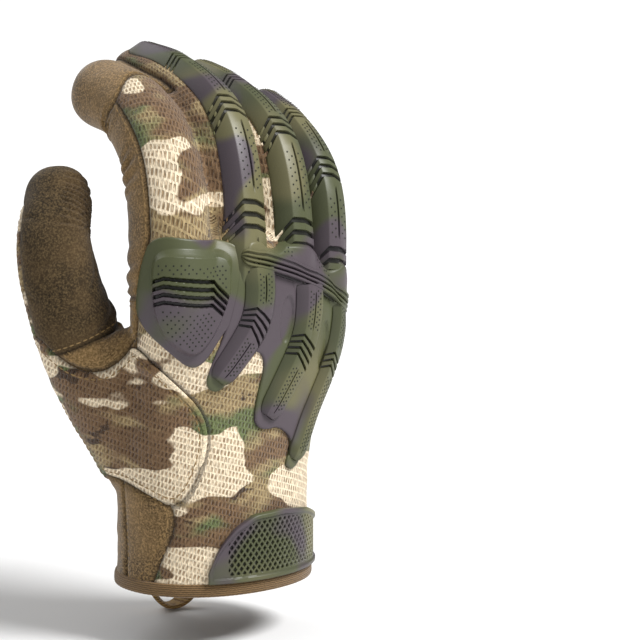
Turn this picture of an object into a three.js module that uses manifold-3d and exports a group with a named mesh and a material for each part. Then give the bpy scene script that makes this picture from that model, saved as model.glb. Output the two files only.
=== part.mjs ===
// A right-hand impact glove, standing on its cuff with the fingers curled as on a relaxed hand.
// +Z runs from the cuff to the fingers, the back of the hand faces -Y and the thumb is on the -X side.
// The origin is the centre of the wrist opening, in the plane of the hem.
// Lengths are millimetres, angles degrees.
import * as THREE from "three";
import { ConvexGeometry } from "three/addons/geometries/ConvexGeometry.js";
import { mergeVertices } from "three/addons/utils/BufferGeometryUtils.js";
import Module from "manifold-3d";

const wasm = await Module();
wasm.setup();

// Driving dimensions of the hand's form
const KNUCKLE_HEIGHT = 117;
const WRIST_HEIGHT = 44;
const PALM_WIDTH = 96;
const PALM_DEPTH = 34;
const CUFF_WIDTH = 76;
const CUFF_DEPTH = 62;
const FINGER_LENGTH = 108;
const FINGER_WIDTH = 24;
const FINGER_DEPTH = 27;
const THUMB_LENGTH = 105;
const THUMB_WIDTH = 29;

// Walls, the clearance between neighbouring pieces, and the bound hem
const FABRIC_WALL = 1.8;
const GAP = 0.3;
const HEM_HEIGHT = 4;
const HEM_PROUD = 1.2;
const HEM_INSIDE = 0.5;
const SHELL_BOTTOM = HEM_HEIGHT + GAP;
const BELOW = -20;

// How finely the soft form is faceted
const PALM_SIDES = 20;
const DIGIT_SIDES = 10;
const INNER_PALM_SIDES = 12;
const INNER_DIGIT_SIDES = 6;
const TIP_DOME = [0, 0.6, 0.92];
const INNER_DOME = [0, 0.7, 0.93];
const DIGIT_SQUARE = 2.2;

// Cross-sections of the cuff: rise is a share of the wrist height,
// the rest are shares of the cuff's width and depth
const CUFF_SECTIONS = [
  { rise: 0, across: -0.03, behind: 0.12, width: 0.99, depth: 1, square: 2.1 },
  { rise: 0.45, across: -0.035, behind: 0.12, width: 0.99, depth: 0.95, square: 2.1 },
  { rise: 0.9, across: -0.04, behind: 0.105, width: 1.01, depth: 0.86, square: 2.2 },
];

// Cross-sections of the palm: rise is a share of the way from the wrist to the knuckles
const PALM_SECTIONS = [
  { rise: 0.25, across: -0.025, behind: 0.12, width: 0.86, depth: 1.34, square: 2.3, arch: 0 },
  { rise: 0.5, across: 0, behind: 0.03, width: 0.89, depth: 1.2, square: 2.5, arch: 0.4 },
  { rise: 0.75, across: 0.005, behind: -0.07, width: 0.91, depth: 1.05, square: 2.7, arch: 0.8 },
  { rise: 0.95, across: 0.01, behind: -0.12, width: 0.92, depth: 0.95, square: 2.7, arch: 1 },
  { rise: 1.1, across: 0.01, behind: -0.11, width: 0.89, depth: 0.83, square: 2.4, arch: 1 },
  { rise: 1.19, across: 0.025, behind: -0.09, width: 0.86, depth: 0.58, square: 2.2, arch: 1 },
  { rise: 1.23, across: 0.03, behind: -0.08, width: 0.78, depth: 0.25, square: 2.2, arch: 1 },
];
// The knuckle line falls away on both sides of the middle finger
const ARCH_FALL = 0.76;

// Fingers: knuckle as shares of palm width, palm depth and knuckle height; lean and bends in degrees
const FINGERS = [
  {
    name: "index", across: -0.325, behind: -0.1, rise: 0.95,
    length: 0.91, width: 1.1, lean: 8, bends: [14, 31, 27],
  },
  {
    name: "middle", across: -0.07, behind: -0.12, rise: 1,
    length: 0.99, width: 1, lean: 7, bends: [16, 41, 20],
  },
  {
    name: "ring", across: 0.175, behind: -0.12, rise: 0.94,
    length: 0.96, width: 0.98, lean: 7, bends: [15, 40, 18],
  },
  {
    name: "little", across: 0.372, behind: -0.03, rise: 0.88,
    length: 0.82, width: 0.9, lean: 8, bends: [9, 35, 20],
  },
];
const BONE_SHARES = [0.467, 0.288, 0.2];
const ROOT_SHARE = 0.3;

// Thumb: where it leaves the wrist, then its bones: share of length, lean from upright, compass direction
const THUMB_ROOT = { across: -0.26, behind: 0.56, rise: 0.45 };
const THUMB_BONES = [
  { length: 0.44, lean: 32, compass: 156 },
  { length: 0.345, lean: 15, compass: 155 },
  { length: 0.185, lean: 33, compass: 45 },
];
const THUMB_NAIL_COMPASS = 140;
const THUMB_ROOT_SHARE = 0.18;

// Sections along a digit: joint 0 is the knuckle, 1 and 2 the bends, 3 the centre of the tip
const FINGER_SECTIONS = [
  { joint: -1, width: 0.7, depth: 0.6 },
  { joint: 0, width: 0.98, depth: 1.12 },
  { joint: 0.6, width: 1, depth: 1.03 },
  { joint: 1, width: 0.98, depth: 0.97 },
  { joint: 1.45, width: 0.96, depth: 0.93 },
  { joint: 2.05, width: 0.94, depth: 0.88 },
];
const THUMB_SECTIONS = [
  { joint: -1, width: 1.1, depth: 1.15 },
  { joint: 0, width: 1.4, depth: 1.35 },
  { joint: 0.5, width: 1.3, depth: 1.22 },
  { joint: 1, width: 1.08, depth: 1.06 },
  { joint: 1.6, width: 0.97, depth: 0.95 },
  { joint: 2.2, width: 0.9, depth: 0.87 },
  { joint: 3, width: 0.84, depth: 0.8 },
];

// The web between the thumb and the index finger is one hull round four balls
const WEB_BALLS = [
  { across: -0.49, behind: 0.62, rise: 0.7, radius: 0.36 },
  { across: -0.33, behind: 0.3, rise: 0.4, radius: 0.38 },
  { across: -0.34, behind: 0.06, rise: 0.78, radius: 0.34 },
  { across: -0.24, behind: 0.06, rise: 0.45, radius: 0.4 },
];
const BALL_SIDES = 10;

// Azimuths that outlines are drawn in: 0 faces the back of the hand, 180 the palm
const BACK_VIEW = 0;
const THUMB_VIEW = -39;
const PALM_VIEW = 140;

// Where the knit back ends: height, and how far behind the middle plane it reaches on either side
const BACK_EDGE = [
  { z: -5, thumbSide: 2, littleSide: 2 },
  { z: 40, thumbSide: 4, littleSide: 5 },
  { z: 80, thumbSide: 0, littleSide: 3 },
  { z: 104, thumbSide: -2, littleSide: 0 },
  { z: 133, thumbSide: -6, littleSide: -3.5 },
];
const BACK_STRIP = { left: -1.3, right: 1.3, low: 0.32, high: 1.4 };
const THUMB_STRIP = { left: -0.45, right: 0.45, low: 0.4, high: 1.3 };
const WHOLE_DIGIT = { left: -1.4, right: 1.4, low: -1.4, high: 1.4 };
const CAP_JOINT = 2.1;
const THUMB_SEAM = 1.02;
const FINGER_SEAM = 0.2;
const SEAM_JOINT_GAP = 0.013;

// Outlines of panels, across then up
const WRIST_SEAM_DEPTH = -14;
const WRIST_SEAM = [[-70, 43], [-41, 41], [-33, 31], [-39, 7], [-39, -9], [-70, -9]];
const WRIST_PANEL = [[-70, 60], [-30, 60], [-30, 29], [-39, 7], [-39, -9], [-70, -9]];
const WRIST_PANEL_DEPTH = 12;
const THUMB_GUSSET = [[-76, 99], [-59.6, 84.2], [-47.5, 81.2], [-38.7, 87.3], [-35.1, 93.5], [-22.3, 81],
  [-9.1, 67.5], [-8.4, 52], [-18.2, 31.4], [-32.8, 38.5], [-41.2, 41.5], [-76, 44]];
const GUSSET_DEPTH = 7;
const SADDLE = [[-76, 114], [-76, 99.6], [-59.6, 84.8], [-47.5, 81.8], [-38.7, 87.9], [-34.9, 94.6],
  [-31.5, 98], [-31.5, 112], [-45, 105]];
const SADDLE_DEPTH = 5;

// Moulded rubber guards: heights over the fabric, grooves, and outlines
const FLANGE_HEIGHT = 1.6;
const STRUT_HEIGHT = 3.4;
const BAND_HEIGHT = 4.2;
const GROOVE_DEPTH = 0.9;
const GROOVE_WIDTH = 1;
const GROOVE_PITCH = 2.4;
const CHEVRON_DROP = 3;
const GUARD_DEPTH = 2;
const INDEX_DEPTH = 14;
const INDEX_FLANGE = [
  [-27.6, 133], [2.6, 127.3], [-2.3, 113.9], [-6.6, 100.8], [-14.5, 84.8], [-25.1, 95.2], [-32, 101],
  [-33, 107], [-30.5, 120],
];
const INDEX_RAISED = [[-24.3, 128], [-12.2, 127], [-0.6, 123.3], [-2.6, 112], [-8, 99.8], [-14.8, 88.3],
  [-25.8, 100], [-27, 115]];
const INDEX_GROOVES = { across: -14.5, top: 116.5, count: 4, flat: 8.5, reach: 16 };
const GUARD_FLANGE = [
  [-9, 130], [-11.5, 121], [-14.5, 111], [-18.5, 98], [-25.3, 83], [-25.5, 77], [-21.5, 75],
  [-17.5, 78], [-7.3, 90.5], [0.5, 86], [-4.2, 71], [-5.2, 62], [-0.5, 59], [7, 60], [15, 53],
  [8.5, 44.5], [15.2, 42], [25, 54], [32.5, 66], [41, 84], [45, 101], [46, 116], [38, 118], [32, 116.5],
  [26, 121], [17, 125], [10, 127], [4, 129],
];
const GUARD_STRUTS = [
  [[-10, 120], [4.2, 116.5], [3.1, 106], [2.2, 99], [-7, 91.5], [-17.6, 79.5], [-21.5, 76.5], [-24.6, 78.5],
    [-24.6, 83], [-20, 92], [-14.5, 100], [-10.5, 107]],
  [[14, 113], [28, 108], [26.5, 94], [24, 84], [13.5, 74], [6, 66], [0.5, 60.5], [-3.6, 62.5], [-3, 70],
    [2, 79], [9.5, 88], [13, 97]],
  [[35, 104], [44, 101], [41.5, 88], [38, 79], [31, 68], [23.5, 56], [16, 44], [10.5, 45.5], [13, 52],
    [22, 63], [30, 75], [34, 88]],
];
const STRUT_GROOVES = [
  { across: -5.5, top: 103, count: 4, flat: 2.4, reach: 12 },
  { across: 18.5, top: 89.5, count: 4, flat: 2.4, reach: 12 },
  { across: 38, top: 84, count: 3, flat: 2, reach: 10 },
];
const BAND_UPPER = [[-9.6, 126.4], [4, 123], [19, 118], [34.5, 111.2], [45, 104]];
const BAND_LOWER = [[-11.6, 120.7], [3, 117], [17.7, 111.8], [33, 105], [45, 97]];
const BAND_GROOVES = [0.26, 0.5, 0.74];

// Guard strands along the fingers: half widths as shares, heights, and where the chevrons sit by joint
const STRAND = { from: -0.12, to: 2.95, base: 0.78, top: 0.4, height: 3.1, edge: 1.9, steps: 9 };
const STRAND_CHEVRONS = [0.45, 1.2, 2.1];
const CHEVRON_COUNT = 3;

// Patches sewn on the palm: thickness, and outlines seen from the palm
const PATCH_HEIGHT = 1.2;
const PAD_HEIGHT = 2.2;
const PATCH_DEPTH = 2;
const OVERLAY_VIEW = 180;
const OVERLAY = [
  [-50, 104], [-33, 101], [-16, 104], [-7, 106], [0, 106], [9.5, 99.5], [22.5, 97.5], [31, 98],
  [32, 118], [16, 124], [-2, 124], [-14, 121], [-24, 118], [-34, 124], [-50, 126],
];
const HEEL_PAD = [[-19, 70], [-15, 75.5], [-9, 78], [6, 78.5], [20, 75], [26.5, 69], [27.5, 54], [24, 37.5],
  [15, 32], [1, 31], [-14, 34.5], [-19, 51]];
const THENAR_PAD = [
  [29, 68], [33, 81], [39.5, 87], [46, 80], [48, 67], [46, 57], [42, 48], [37, 41], [31.5, 38],
  [30, 54],
];

// Cuff strap: direction round the wrist from the middle of the back, with the lower and upper edge there
const STRAP = [
  { turn: -42, low: 5, high: 9 },
  { turn: -36, low: 5, high: 18 },
  { turn: -26, low: 5, high: 25 },
  { turn: -12, low: 5, high: 29.5 },
  { turn: 12, low: 5, high: 30 },
  { turn: 38, low: 5, high: 28 },
  { turn: 60, low: 5, high: 23 },
  { turn: 80, low: 5, high: 17.5 },
  { turn: 100, low: 5, high: 15.5 },
  { turn: 125, low: 5, high: 17.5 },
  { turn: 150, low: 5, high: 19.5 },
  { turn: 180, low: 5, high: 21 },
  { turn: 205, low: 5.5, high: 22 },
  { turn: 222, low: 7, high: 22 },
];
const STRAP_HEIGHT = 2.2;
const STRAP_RIBS = { from: 96, to: 128, count: 7, width: 1.2, depth: 0.8 };

// Wrist slit at the little-finger side, bound in tape, and the pull loop under the strap
const SLIT_VIEW = 90;
const SLIT_OUTER = [[6, 43], [-5, 20.6], [19, 20.6]];
const SLIT_INNER = [[6, 36], [-0.8, 20], [13.6, 20]];
const SLIT_HEIGHT = 1;
const SLIT_DEPTH = 5;
const LOOP = { turn: 170, spread: 20, drop: 22, width: 8, thick: 1.4, top: 3.6, away: 1.6, steps: 12 };

const X = new THREE.Vector3(1, 0, 0);
const Y = new THREE.Vector3(0, 1, 0);
const Z = new THREE.Vector3(0, 0, 1);
const rad = THREE.MathUtils.degToRad;
const vec = (x, y, z) => new THREE.Vector3(x, y, z);
const union = (list) => list.reduce((sum, one) => sum.add(one));

// A closed skin through rings of equally many points: with fans over both ends
function loft(rings) {
  const sides = rings[0].length;
  const positions = [];
  const faces = [];
  rings.forEach((points) => points.forEach((p) => positions.push(p.x, p.y, p.z)));
  for (let r = 0; r < rings.length - 1; r++) {
    for (let s = 0; s < sides; s++) {
      const a = r * sides + s;
      const b = r * sides + ((s + 1) % sides);
      const c = (r + 1) * sides + s;
      const d = (r + 1) * sides + ((s + 1) % sides);
      faces.push(a, b, d, a, d, c);
    }
  }
  for (const end of [0, rings.length - 1]) {
    const tip = positions.length / 3;
    const middle = rings[end].reduce((sum, p) => sum.add(p), vec(0, 0, 0)).divideScalar(sides);
    positions.push(middle.x, middle.y, middle.z);
    for (let s = 0; s < sides; s++) {
      const a = end * sides + s;
      const b = end * sides + ((s + 1) % sides);
      faces.push(...(end === 0 ? [b, a, tip] : [a, b, tip]));
    }
  }
  const geometry = new THREE.BufferGeometry();
  geometry.setAttribute("position", new THREE.Float32BufferAttribute(positions, 3));
  geometry.setIndex(faces);
  return geometry;
}

// A superellipse ring around a centre, in the plane of two axes
function ring(centre, u, v, halfU, halfV, square, sides) {
  const points = [];
  for (let s = 0; s < sides; s++) {
    const a = (2 * Math.PI * (s + 0.5)) / sides;
    const c = Math.sign(Math.cos(a)) * Math.abs(Math.cos(a)) ** (2 / square);
    const d = Math.sign(Math.sin(a)) * Math.abs(Math.sin(a)) ** (2 / square);
    points.push(centre.clone().addScaledVector(u, c * halfU).addScaledVector(v, d * halfV));
  }
  return points;
}

// three.js geometry to a solid that can be cut and joined, whichever way its faces were wound, and back
function solid(geometry) {
  const bare = geometry.clone();
  bare.deleteAttribute("normal");
  bare.deleteAttribute("uv");
  const merged = mergeVertices(bare, 1e-4);
  const faces = new Uint32Array(merged.index.array);
  const make = () =>
    new wasm.Manifold(
      new wasm.Mesh({
        numProp: 3,
        vertProperties: new Float32Array(merged.attributes.position.array),
        triVerts: faces,
      }),
    );
  const made = make();
  if (made.volume() > 0) return made;
  for (let i = 0; i < faces.length; i += 3) [faces[i], faces[i + 1]] = [faces[i + 1], faces[i]];
  return make();
}

function geometryOf(made) {
  const mesh = made.getMesh();
  const geometry = new THREE.BufferGeometry();
  geometry.setAttribute("position", new THREE.Float32BufferAttribute(mesh.vertProperties, 3));
  geometry.setIndex(Array.from(mesh.triVerts));
  return geometry;
}

// The palm and cuff: rings from below the hem to the crown between the fingers
function cuffRing(row, z, offset, sides) {
  const centre = vec(row.across * CUFF_WIDTH, row.behind * CUFF_DEPTH, z);
  const halfX = (row.width * CUFF_WIDTH) / 2 + offset;
  const halfY = (row.depth * CUFF_DEPTH) / 2 + offset;
  return ring(centre, X, Y, halfX, halfY, row.square, sides);
}

function palmRing(row, offset, sides) {
  const z = WRIST_HEIGHT + row.rise * (KNUCKLE_HEIGHT - WRIST_HEIGHT) + (row.rise > 1 ? offset : 0);
  const centre = vec(row.across * PALM_WIDTH, row.behind * PALM_DEPTH, z);
  const halfX = (row.width * PALM_WIDTH) / 2 + offset;
  const halfY = (row.depth * PALM_DEPTH) / 2 + offset;
  const points = ring(centre, X, Y, halfX, halfY, row.square, sides);
  const summit = FINGERS[1].across * PALM_WIDTH;
  for (const p of points) p.z -= (row.arch * ARCH_FALL * (p.x - summit) ** 2) / PALM_WIDTH;
  return points;
}

function palm(offset, bottom, sides) {
  const height = (row) => Math.max(row.rise * WRIST_HEIGHT, SHELL_BOTTOM);
  const cuff = CUFF_SECTIONS.map((row) => cuffRing(row, height(row), offset, sides));
  if (bottom < SHELL_BOTTOM) cuff.unshift(cuffRing(CUFF_SECTIONS[0], bottom, offset, sides));
  return solid(loft([...cuff, ...PALM_SECTIONS.map((row) => palmRing(row, offset, sides))]));
}

// A digit's centre line through its joints, and the direction of its side or of its nail
function fingerLine(row) {
  const lean = rad(row.lean);
  const up = vec(Math.sin(lean), 0, Math.cos(lean));
  const knuckle = vec(row.across * PALM_WIDTH, row.behind * PALM_DEPTH, row.rise * KNUCKLE_HEIGHT);
  const length = row.length * FINGER_LENGTH;
  const joints = [knuckle.clone().addScaledVector(up, -ROOT_SHARE * length), knuckle];
  let bend = 0;
  BONE_SHARES.forEach((share, bone) => {
    bend += rad(row.bends[bone]);
    const along = up.clone().multiplyScalar(Math.cos(bend)).addScaledVector(Y, Math.sin(bend));
    joints.push(joints.at(-1).clone().addScaledVector(along, share * length));
  });
  const curve = new THREE.CatmullRomCurve3(joints, false, "centripetal");
  return { curve, side: vec(Math.cos(lean), 0, -Math.sin(lean)) };
}

function thumbLine() {
  const { across, behind, rise } = THUMB_ROOT;
  const root = vec(across * PALM_WIDTH, behind * PALM_DEPTH, rise * KNUCKLE_HEIGHT);
  const direction = (bone) => {
    const level = Math.sin(rad(bone.lean));
    const turn = rad(bone.compass);
    return vec(level * Math.cos(turn), level * Math.sin(turn), Math.cos(rad(bone.lean)));
  };
  const before = -THUMB_ROOT_SHARE * THUMB_LENGTH;
  const joints = [root.clone().addScaledVector(direction(THUMB_BONES[0]), before), root];
  for (const bone of THUMB_BONES) {
    joints.push(joints.at(-1).clone().addScaledVector(direction(bone), bone.length * THUMB_LENGTH));
  }
  const nail = vec(Math.cos(rad(THUMB_NAIL_COMPASS)), Math.sin(rad(THUMB_NAIL_COMPASS)), 0);
  return { curve: new THREE.CatmullRomCurve3(joints, false, "centripetal"), nail };
}

const DIGITS = FINGERS.map((row) => ({
  name: row.name,
  line: fingerLine(row),
  sections: FINGER_SECTIONS,
  width: row.width * FINGER_WIDTH,
  depth: ((row.width + 1) * FINGER_DEPTH) / 2,
}));
const THUMB = { line: thumbLine(), sections: THUMB_SECTIONS, width: THUMB_WIDTH, depth: THUMB_WIDTH };
const [INDEX, ...GUARDED] = DIGITS;

// Position and axes of a digit at a joint number, which may lie between two joints
function digitFrame(line, joint) {
  const share = (joint + 1) / (line.curve.points.length - 1);
  const centre = line.curve.getPoint(share);
  const along = line.curve.getTangent(share);
  const side = line.side ?? vec(0, 0, 0).crossVectors(along, line.nail).normalize();
  const back = vec(0, 0, 0).crossVectors(side, along).normalize();
  return { centre, along, side, back };
}

// Half width and half depth of a digit at a joint number
function digitHalves(digit, joint) {
  const rows = digit.sections;
  const at = rows.findIndex((row) => row.joint >= joint);
  const high = at === -1 ? rows.at(-1) : rows[at];
  const low = at > 0 ? rows[at - 1] : high;
  const t = high === low ? 0 : (joint - low.joint) / (high.joint - low.joint);
  const half = (key, size) => (THREE.MathUtils.lerp(low[key], high[key], t) * size) / 2;
  return [half("width", digit.width), half("depth", digit.depth)];
}

// A point given from a digit's centre line as side, back and along
function fromLine(frame, side, back, along = 0) {
  return frame.centre
    .clone()
    .addScaledVector(frame.side, side)
    .addScaledVector(frame.back, back)
    .addScaledVector(frame.along, along);
}

function digitSolid(digit, offset, sides = DIGIT_SIDES, coarse = false) {
  const rings = digit.sections.filter((row) => row.joint < 3).map((row) => {
    const frame = digitFrame(digit.line, row.joint);
    const [w, d] = digitHalves(digit, row.joint);
    return ring(frame.centre, frame.side, frame.back, w + offset, d + offset, DIGIT_SQUARE, sides);
  });
  const end = digitFrame(digit.line, 3);
  const [w, d] = digitHalves(digit, 3).map((half) => half + offset);
  for (const rise of coarse ? INNER_DOME : TIP_DOME) {
    const shrink = Math.sqrt(1 - rise ** 2);
    const centre = fromLine(end, 0, 0, (rise * (w + d)) / 2);
    rings.push(ring(centre, end.side, end.back, w * shrink, d * shrink, DIGIT_SQUARE, sides));
  }
  return solid(loft(rings));
}

function web(offset) {
  const points = [];
  for (const row of WEB_BALLS) {
    const ball = new THREE.SphereGeometry(row.radius * THUMB_WIDTH + offset, BALL_SIDES, BALL_SIDES / 2);
    ball.translate(row.across * PALM_WIDTH, row.behind * PALM_DEPTH, row.rise * KNUCKLE_HEIGHT);
    const at = ball.attributes.position;
    for (let i = 0; i < at.count; i++) points.push(vec(at.getX(i), at.getY(i), at.getZ(i)));
  }
  return solid(new ConvexGeometry(points));
}

// The whole hand as one solid, grown or shrunk by an offset
function hand(offset, bottom, palmSides = PALM_SIDES, digitSides = DIGIT_SIDES, coarse = false) {
  const digits = [...DIGITS, THUMB].map((digit) => digitSolid(digit, offset, digitSides, coarse));
  return union([...digits, palm(offset, bottom, palmSides), web(offset)]);
}

// A flat outline pushed through the glove along a view, between two distances from the glove's axis
function prism(outline, azimuth, near, far) {
  const shape = new THREE.Shape(outline.map(([u, v]) => new THREE.Vector2(u, v)));
  const geometry = new THREE.ExtrudeGeometry(shape, { depth: far - near, bevelEnabled: false });
  geometry.translate(0, 0, near);
  const a = rad(azimuth);
  const right = vec(Math.cos(a), Math.sin(a), 0);
  const toward = vec(Math.sin(a), -Math.cos(a), 0);
  geometry.applyMatrix4(new THREE.Matrix4().makeBasis(right, Z, toward));
  return solid(geometry);
}

// An outline pushed out along its corners, for the clearance round a panel
function grown(outline, by) {
  const points = outline.map(([u, v]) => new THREE.Vector2(u, v));
  const turn = Math.sign(THREE.ShapeUtils.area(points));
  return points.map((point, i) => {
    const a = point.clone().sub(points.at(i - 1)).normalize();
    const b = points[(i + 1) % points.length].clone().sub(point).normalize();
    const out = new THREE.Vector2(a.y + b.y, -a.x - b.x).multiplyScalar((turn * by) / (1 + a.dot(b)));
    return [point.x + out.x, point.y + out.y];
  });
}

// A four-sided sweep along a digit between two joint numbers,
// its sides as shares of the half width and depth
function slab(digit, from, to, box, grow = 0) {
  const rings = [];
  const joints = [...digit.sections.map((row) => row.joint), 3];
  const between = joints.filter((joint) => joint > from && joint < to);
  for (const joint of [from, ...between, to]) {
    const inside = Math.min(joint, 3);
    const frame = digitFrame(digit.line, inside);
    const [w, d] = digitHalves(digit, inside);
    const beyond = (joint - inside) * FINGER_DEPTH;
    const corners = [
      [box.left * w - grow, box.low * d - grow],
      [box.right * w + grow, box.low * d - grow],
      [box.right * w + grow, box.high * d + grow],
      [box.left * w - grow, box.high * d + grow],
    ];
    rings.push(corners.map(([side, back]) => fromLine(frame, side, back, beyond)));
  }
  return solid(loft(rings)).intersect(digitSolid(digit, 0.2 + grow));
}

// Cuts and patches run out from the glove's axis to this distance, past its widest part
const PAST_SKIN = 90;

// Bodies smaller than this, in mm3, are offcuts and fall away
const OFFCUT = 100;
// Slivers narrower than this, in mm, melt into the faces beside them
const FACET_TOLERANCE = 0.12;
function tidy(made) {
  return union(made.decompose().filter((body) => body.volume() > OFFCUT));
}

const group = new THREE.Group();
function addPiece(name, made, colour, roughness) {
  const material = new THREE.MeshStandardMaterial({ color: colour, roughness, metalness: 0 });
  const mesh = new THREE.Mesh(geometryOf(tidy(made).simplify(FACET_TOLERANCE)), material);
  mesh.name = name;
  group.add(mesh);
}

const KNIT = 0x8a7a52;
const SUEDE = 0x6b4f33;
const RUBBER = 0x6b7252;
const TAPE = 0xa8824a;
const BINDING = 0x7a5528;

// The fabric shell, hollow and open at the wrist, then its panels, each cut clear of the one before
const shell = hand(0, SHELL_BOTTOM).subtract(
  hand(-FABRIC_WALL, BELOW, INNER_PALM_SIDES, INNER_DIGIT_SIDES, true),
);

function knitBack(grow) {
  const rings = BACK_EDGE.map((row, i) => {
    const z = row.z + (i === BACK_EDGE.length - 1 ? grow : 0);
    const behind = [row.littleSide + grow, row.thumbSide + grow];
    return [vec(-75, -60, z), vec(75, -60, z), vec(75, behind[0], z), vec(-75, behind[1], z)];
  });
  const wrist = prism(grown(WRIST_SEAM, -grow), BACK_VIEW, WRIST_SEAM_DEPTH, PAST_SKIN);
  const strips = DIGITS.map((digit) => slab(digit, 0, 3.8, BACK_STRIP, grow));
  return union([solid(loft(rings)).subtract(wrist), ...strips]);
}
const indexCap = (grow) => slab(INDEX, CAP_JOINT - (grow ? SEAM_JOINT_GAP : 0), 4, WHOLE_DIGIT, grow);
const thumbTop = (grow) => slab(THUMB, THUMB_SEAM - (grow ? SEAM_JOINT_GAP : 0), 4, WHOLE_DIGIT, grow);
const thumbKnit = (grow) =>
  slab(THUMB, -0.2, 2.7, THUMB_STRIP, grow).add(
    prism(grown(THUMB_GUSSET, grow), THUMB_VIEW, GUSSET_DEPTH - grow, PAST_SKIN),
  );
const saddle = (grow) => prism(grown(SADDLE, grow), THUMB_VIEW, SADDLE_DEPTH - grow, PAST_SKIN);
const wristPanel = (grow) =>
  prism(grown(WRIST_PANEL, grow), BACK_VIEW, -WRIST_PANEL_DEPTH - grow, PAST_SKIN);

const notCapped = shell.subtract(indexCap(GAP)).subtract(thumbKnit(GAP));
const suede = notCapped.subtract(knitBack(GAP));
const palmSide = suede.subtract(thumbTop(GAP));
addPiece("index_cap", shell.intersect(indexCap(0)), SUEDE, 0.95);
addPiece("thumb_knit", shell.intersect(thumbKnit(0)), KNIT, 0.9);
addPiece("back_knit", notCapped.intersect(knitBack(0)), KNIT, 0.9);
addPiece("thumb_suede", suede.intersect(thumbTop(0)), SUEDE, 0.95);
addPiece("thumb_saddle", palmSide.intersect(saddle(0)), SUEDE, 0.95);
addPiece("wrist_suede", palmSide.intersect(wristPanel(0)), SUEDE, 0.95);

// The palm side of each finger is a piece of its own; the seams lie under the patch at the finger roots
const fingerTube = (digit, grow) =>
  slab(digit, FINGER_SEAM - (grow ? SEAM_JOINT_GAP : 0), 4, WHOLE_DIGIT, grow);
let palmFront = palmSide.subtract(saddle(GAP)).subtract(wristPanel(GAP));
for (const digit of DIGITS) {
  addPiece(`${digit.name}_palm_side`, palmFront.intersect(fingerTube(digit, 0)), SUEDE, 0.95);
  palmFront = palmFront.subtract(fingerTube(digit, GAP));
}
addPiece("palm_suede", palmFront, SUEDE, 0.95);

// Everything that lies on the fabric is cut from the hand grown by its height,
// clear of the hand grown by the gap
const skin = hand(GAP, BELOW);
const grownHands = new Map();
function over(height) {
  if (!grownHands.has(height)) grownHands.set(height, hand(GAP + height, BELOW));
  return grownHands.get(height);
}
const patch = (outline, azimuth, near, height) =>
  over(height).intersect(prism(outline, azimuth, near, PAST_SKIN));

// A bent bar across a guard, to be cut as a groove: flat in the middle, falling away on both sides
function chevron(row, index) {
  const top = row.top - index * GROOVE_PITCH;
  const edge = (low) => [
    [row.across - row.reach, top - CHEVRON_DROP - low],
    [row.across - row.flat, top - low],
    [row.across + row.flat, top - low],
    [row.across + row.reach, top - CHEVRON_DROP - low],
  ];
  return [...edge(0), ...edge(GROOVE_WIDTH).reverse()];
}
const chevrons = (row) => Array.from({ length: row.count }, (_, i) => chevron(row, i));

// A raised part of a guard, grooved to a set depth
function raised(outline, azimuth, near, height, grooves) {
  const bars = union(grooves.map((groove) => prism(groove, azimuth, near - 1, PAST_SKIN)));
  return patch(outline, azimuth, near, height).subtract(bars.subtract(over(height - GROOVE_DEPTH)));
}

const indexGuard = patch(INDEX_FLANGE, THUMB_VIEW, INDEX_DEPTH, FLANGE_HEIGHT).add(
  raised(INDEX_RAISED, THUMB_VIEW, INDEX_DEPTH, STRUT_HEIGHT, chevrons(INDEX_GROOVES)),
);
addPiece("index_guard", indexGuard.subtract(skin), RUBBER, 0.6);

// Stops along a strand: plain steps, and at every groove three rings that dip and rise again
function strandStops(digit) {
  const bone = digit.line.curve.getLength() / 4;
  const stops = [];
  for (let i = 0; i <= STRAND.steps; i++) {
    const joint = THREE.MathUtils.lerp(STRAND.from, STRAND.to, i / STRAND.steps);
    const clear = STRAND_CHEVRONS.every((at) => {
      const below = at - (CHEVRON_COUNT * GROOVE_PITCH + CHEVRON_DROP) / bone;
      return joint < below || joint > at + 1.5 / bone;
    });
    if (clear) stops.push({ joint, dip: 0, bend: 0 });
  }
  for (const at of STRAND_CHEVRONS) {
    for (let i = 0; i < CHEVRON_COUNT; i++) {
      const high = at - (i * GROOVE_PITCH) / bone;
      const low = high - GROOVE_WIDTH / bone;
      stops.push({ joint: low, dip: 0, bend: 1 });
      stops.push({ joint: (low + high) / 2, dip: GROOVE_DEPTH, bend: 1 }, { joint: high, dip: 0, bend: 1 });
    }
  }
  return stops.sort((p, q) => p.joint - q.joint);
}

function strand(digit) {
  const rings = strandStops(digit).map((stop) => {
    const frame = digitFrame(digit.line, stop.joint);
    const [w, d] = digitHalves(digit, stop.joint);
    const dip = stop.dip * 0.6;
    const root = Math.sqrt(1 - STRAND.base ** 2) * d;
    const base = STRAND.base * w - dip;
    const edge = root + STRAND.edge - dip;
    const top = d + STRAND.height - stop.dip;
    const drop = -CHEVRON_DROP * stop.bend;
    return [
      fromLine(frame, -base, root - 2, drop),
      fromLine(frame, base, root - 2, drop),
      fromLine(frame, base, edge, drop),
      fromLine(frame, STRAND.top * w, top),
      fromLine(frame, -STRAND.top * w, top),
      fromLine(frame, -base, edge, drop),
    ];
  });
  return solid(loft(rings));
}

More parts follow.
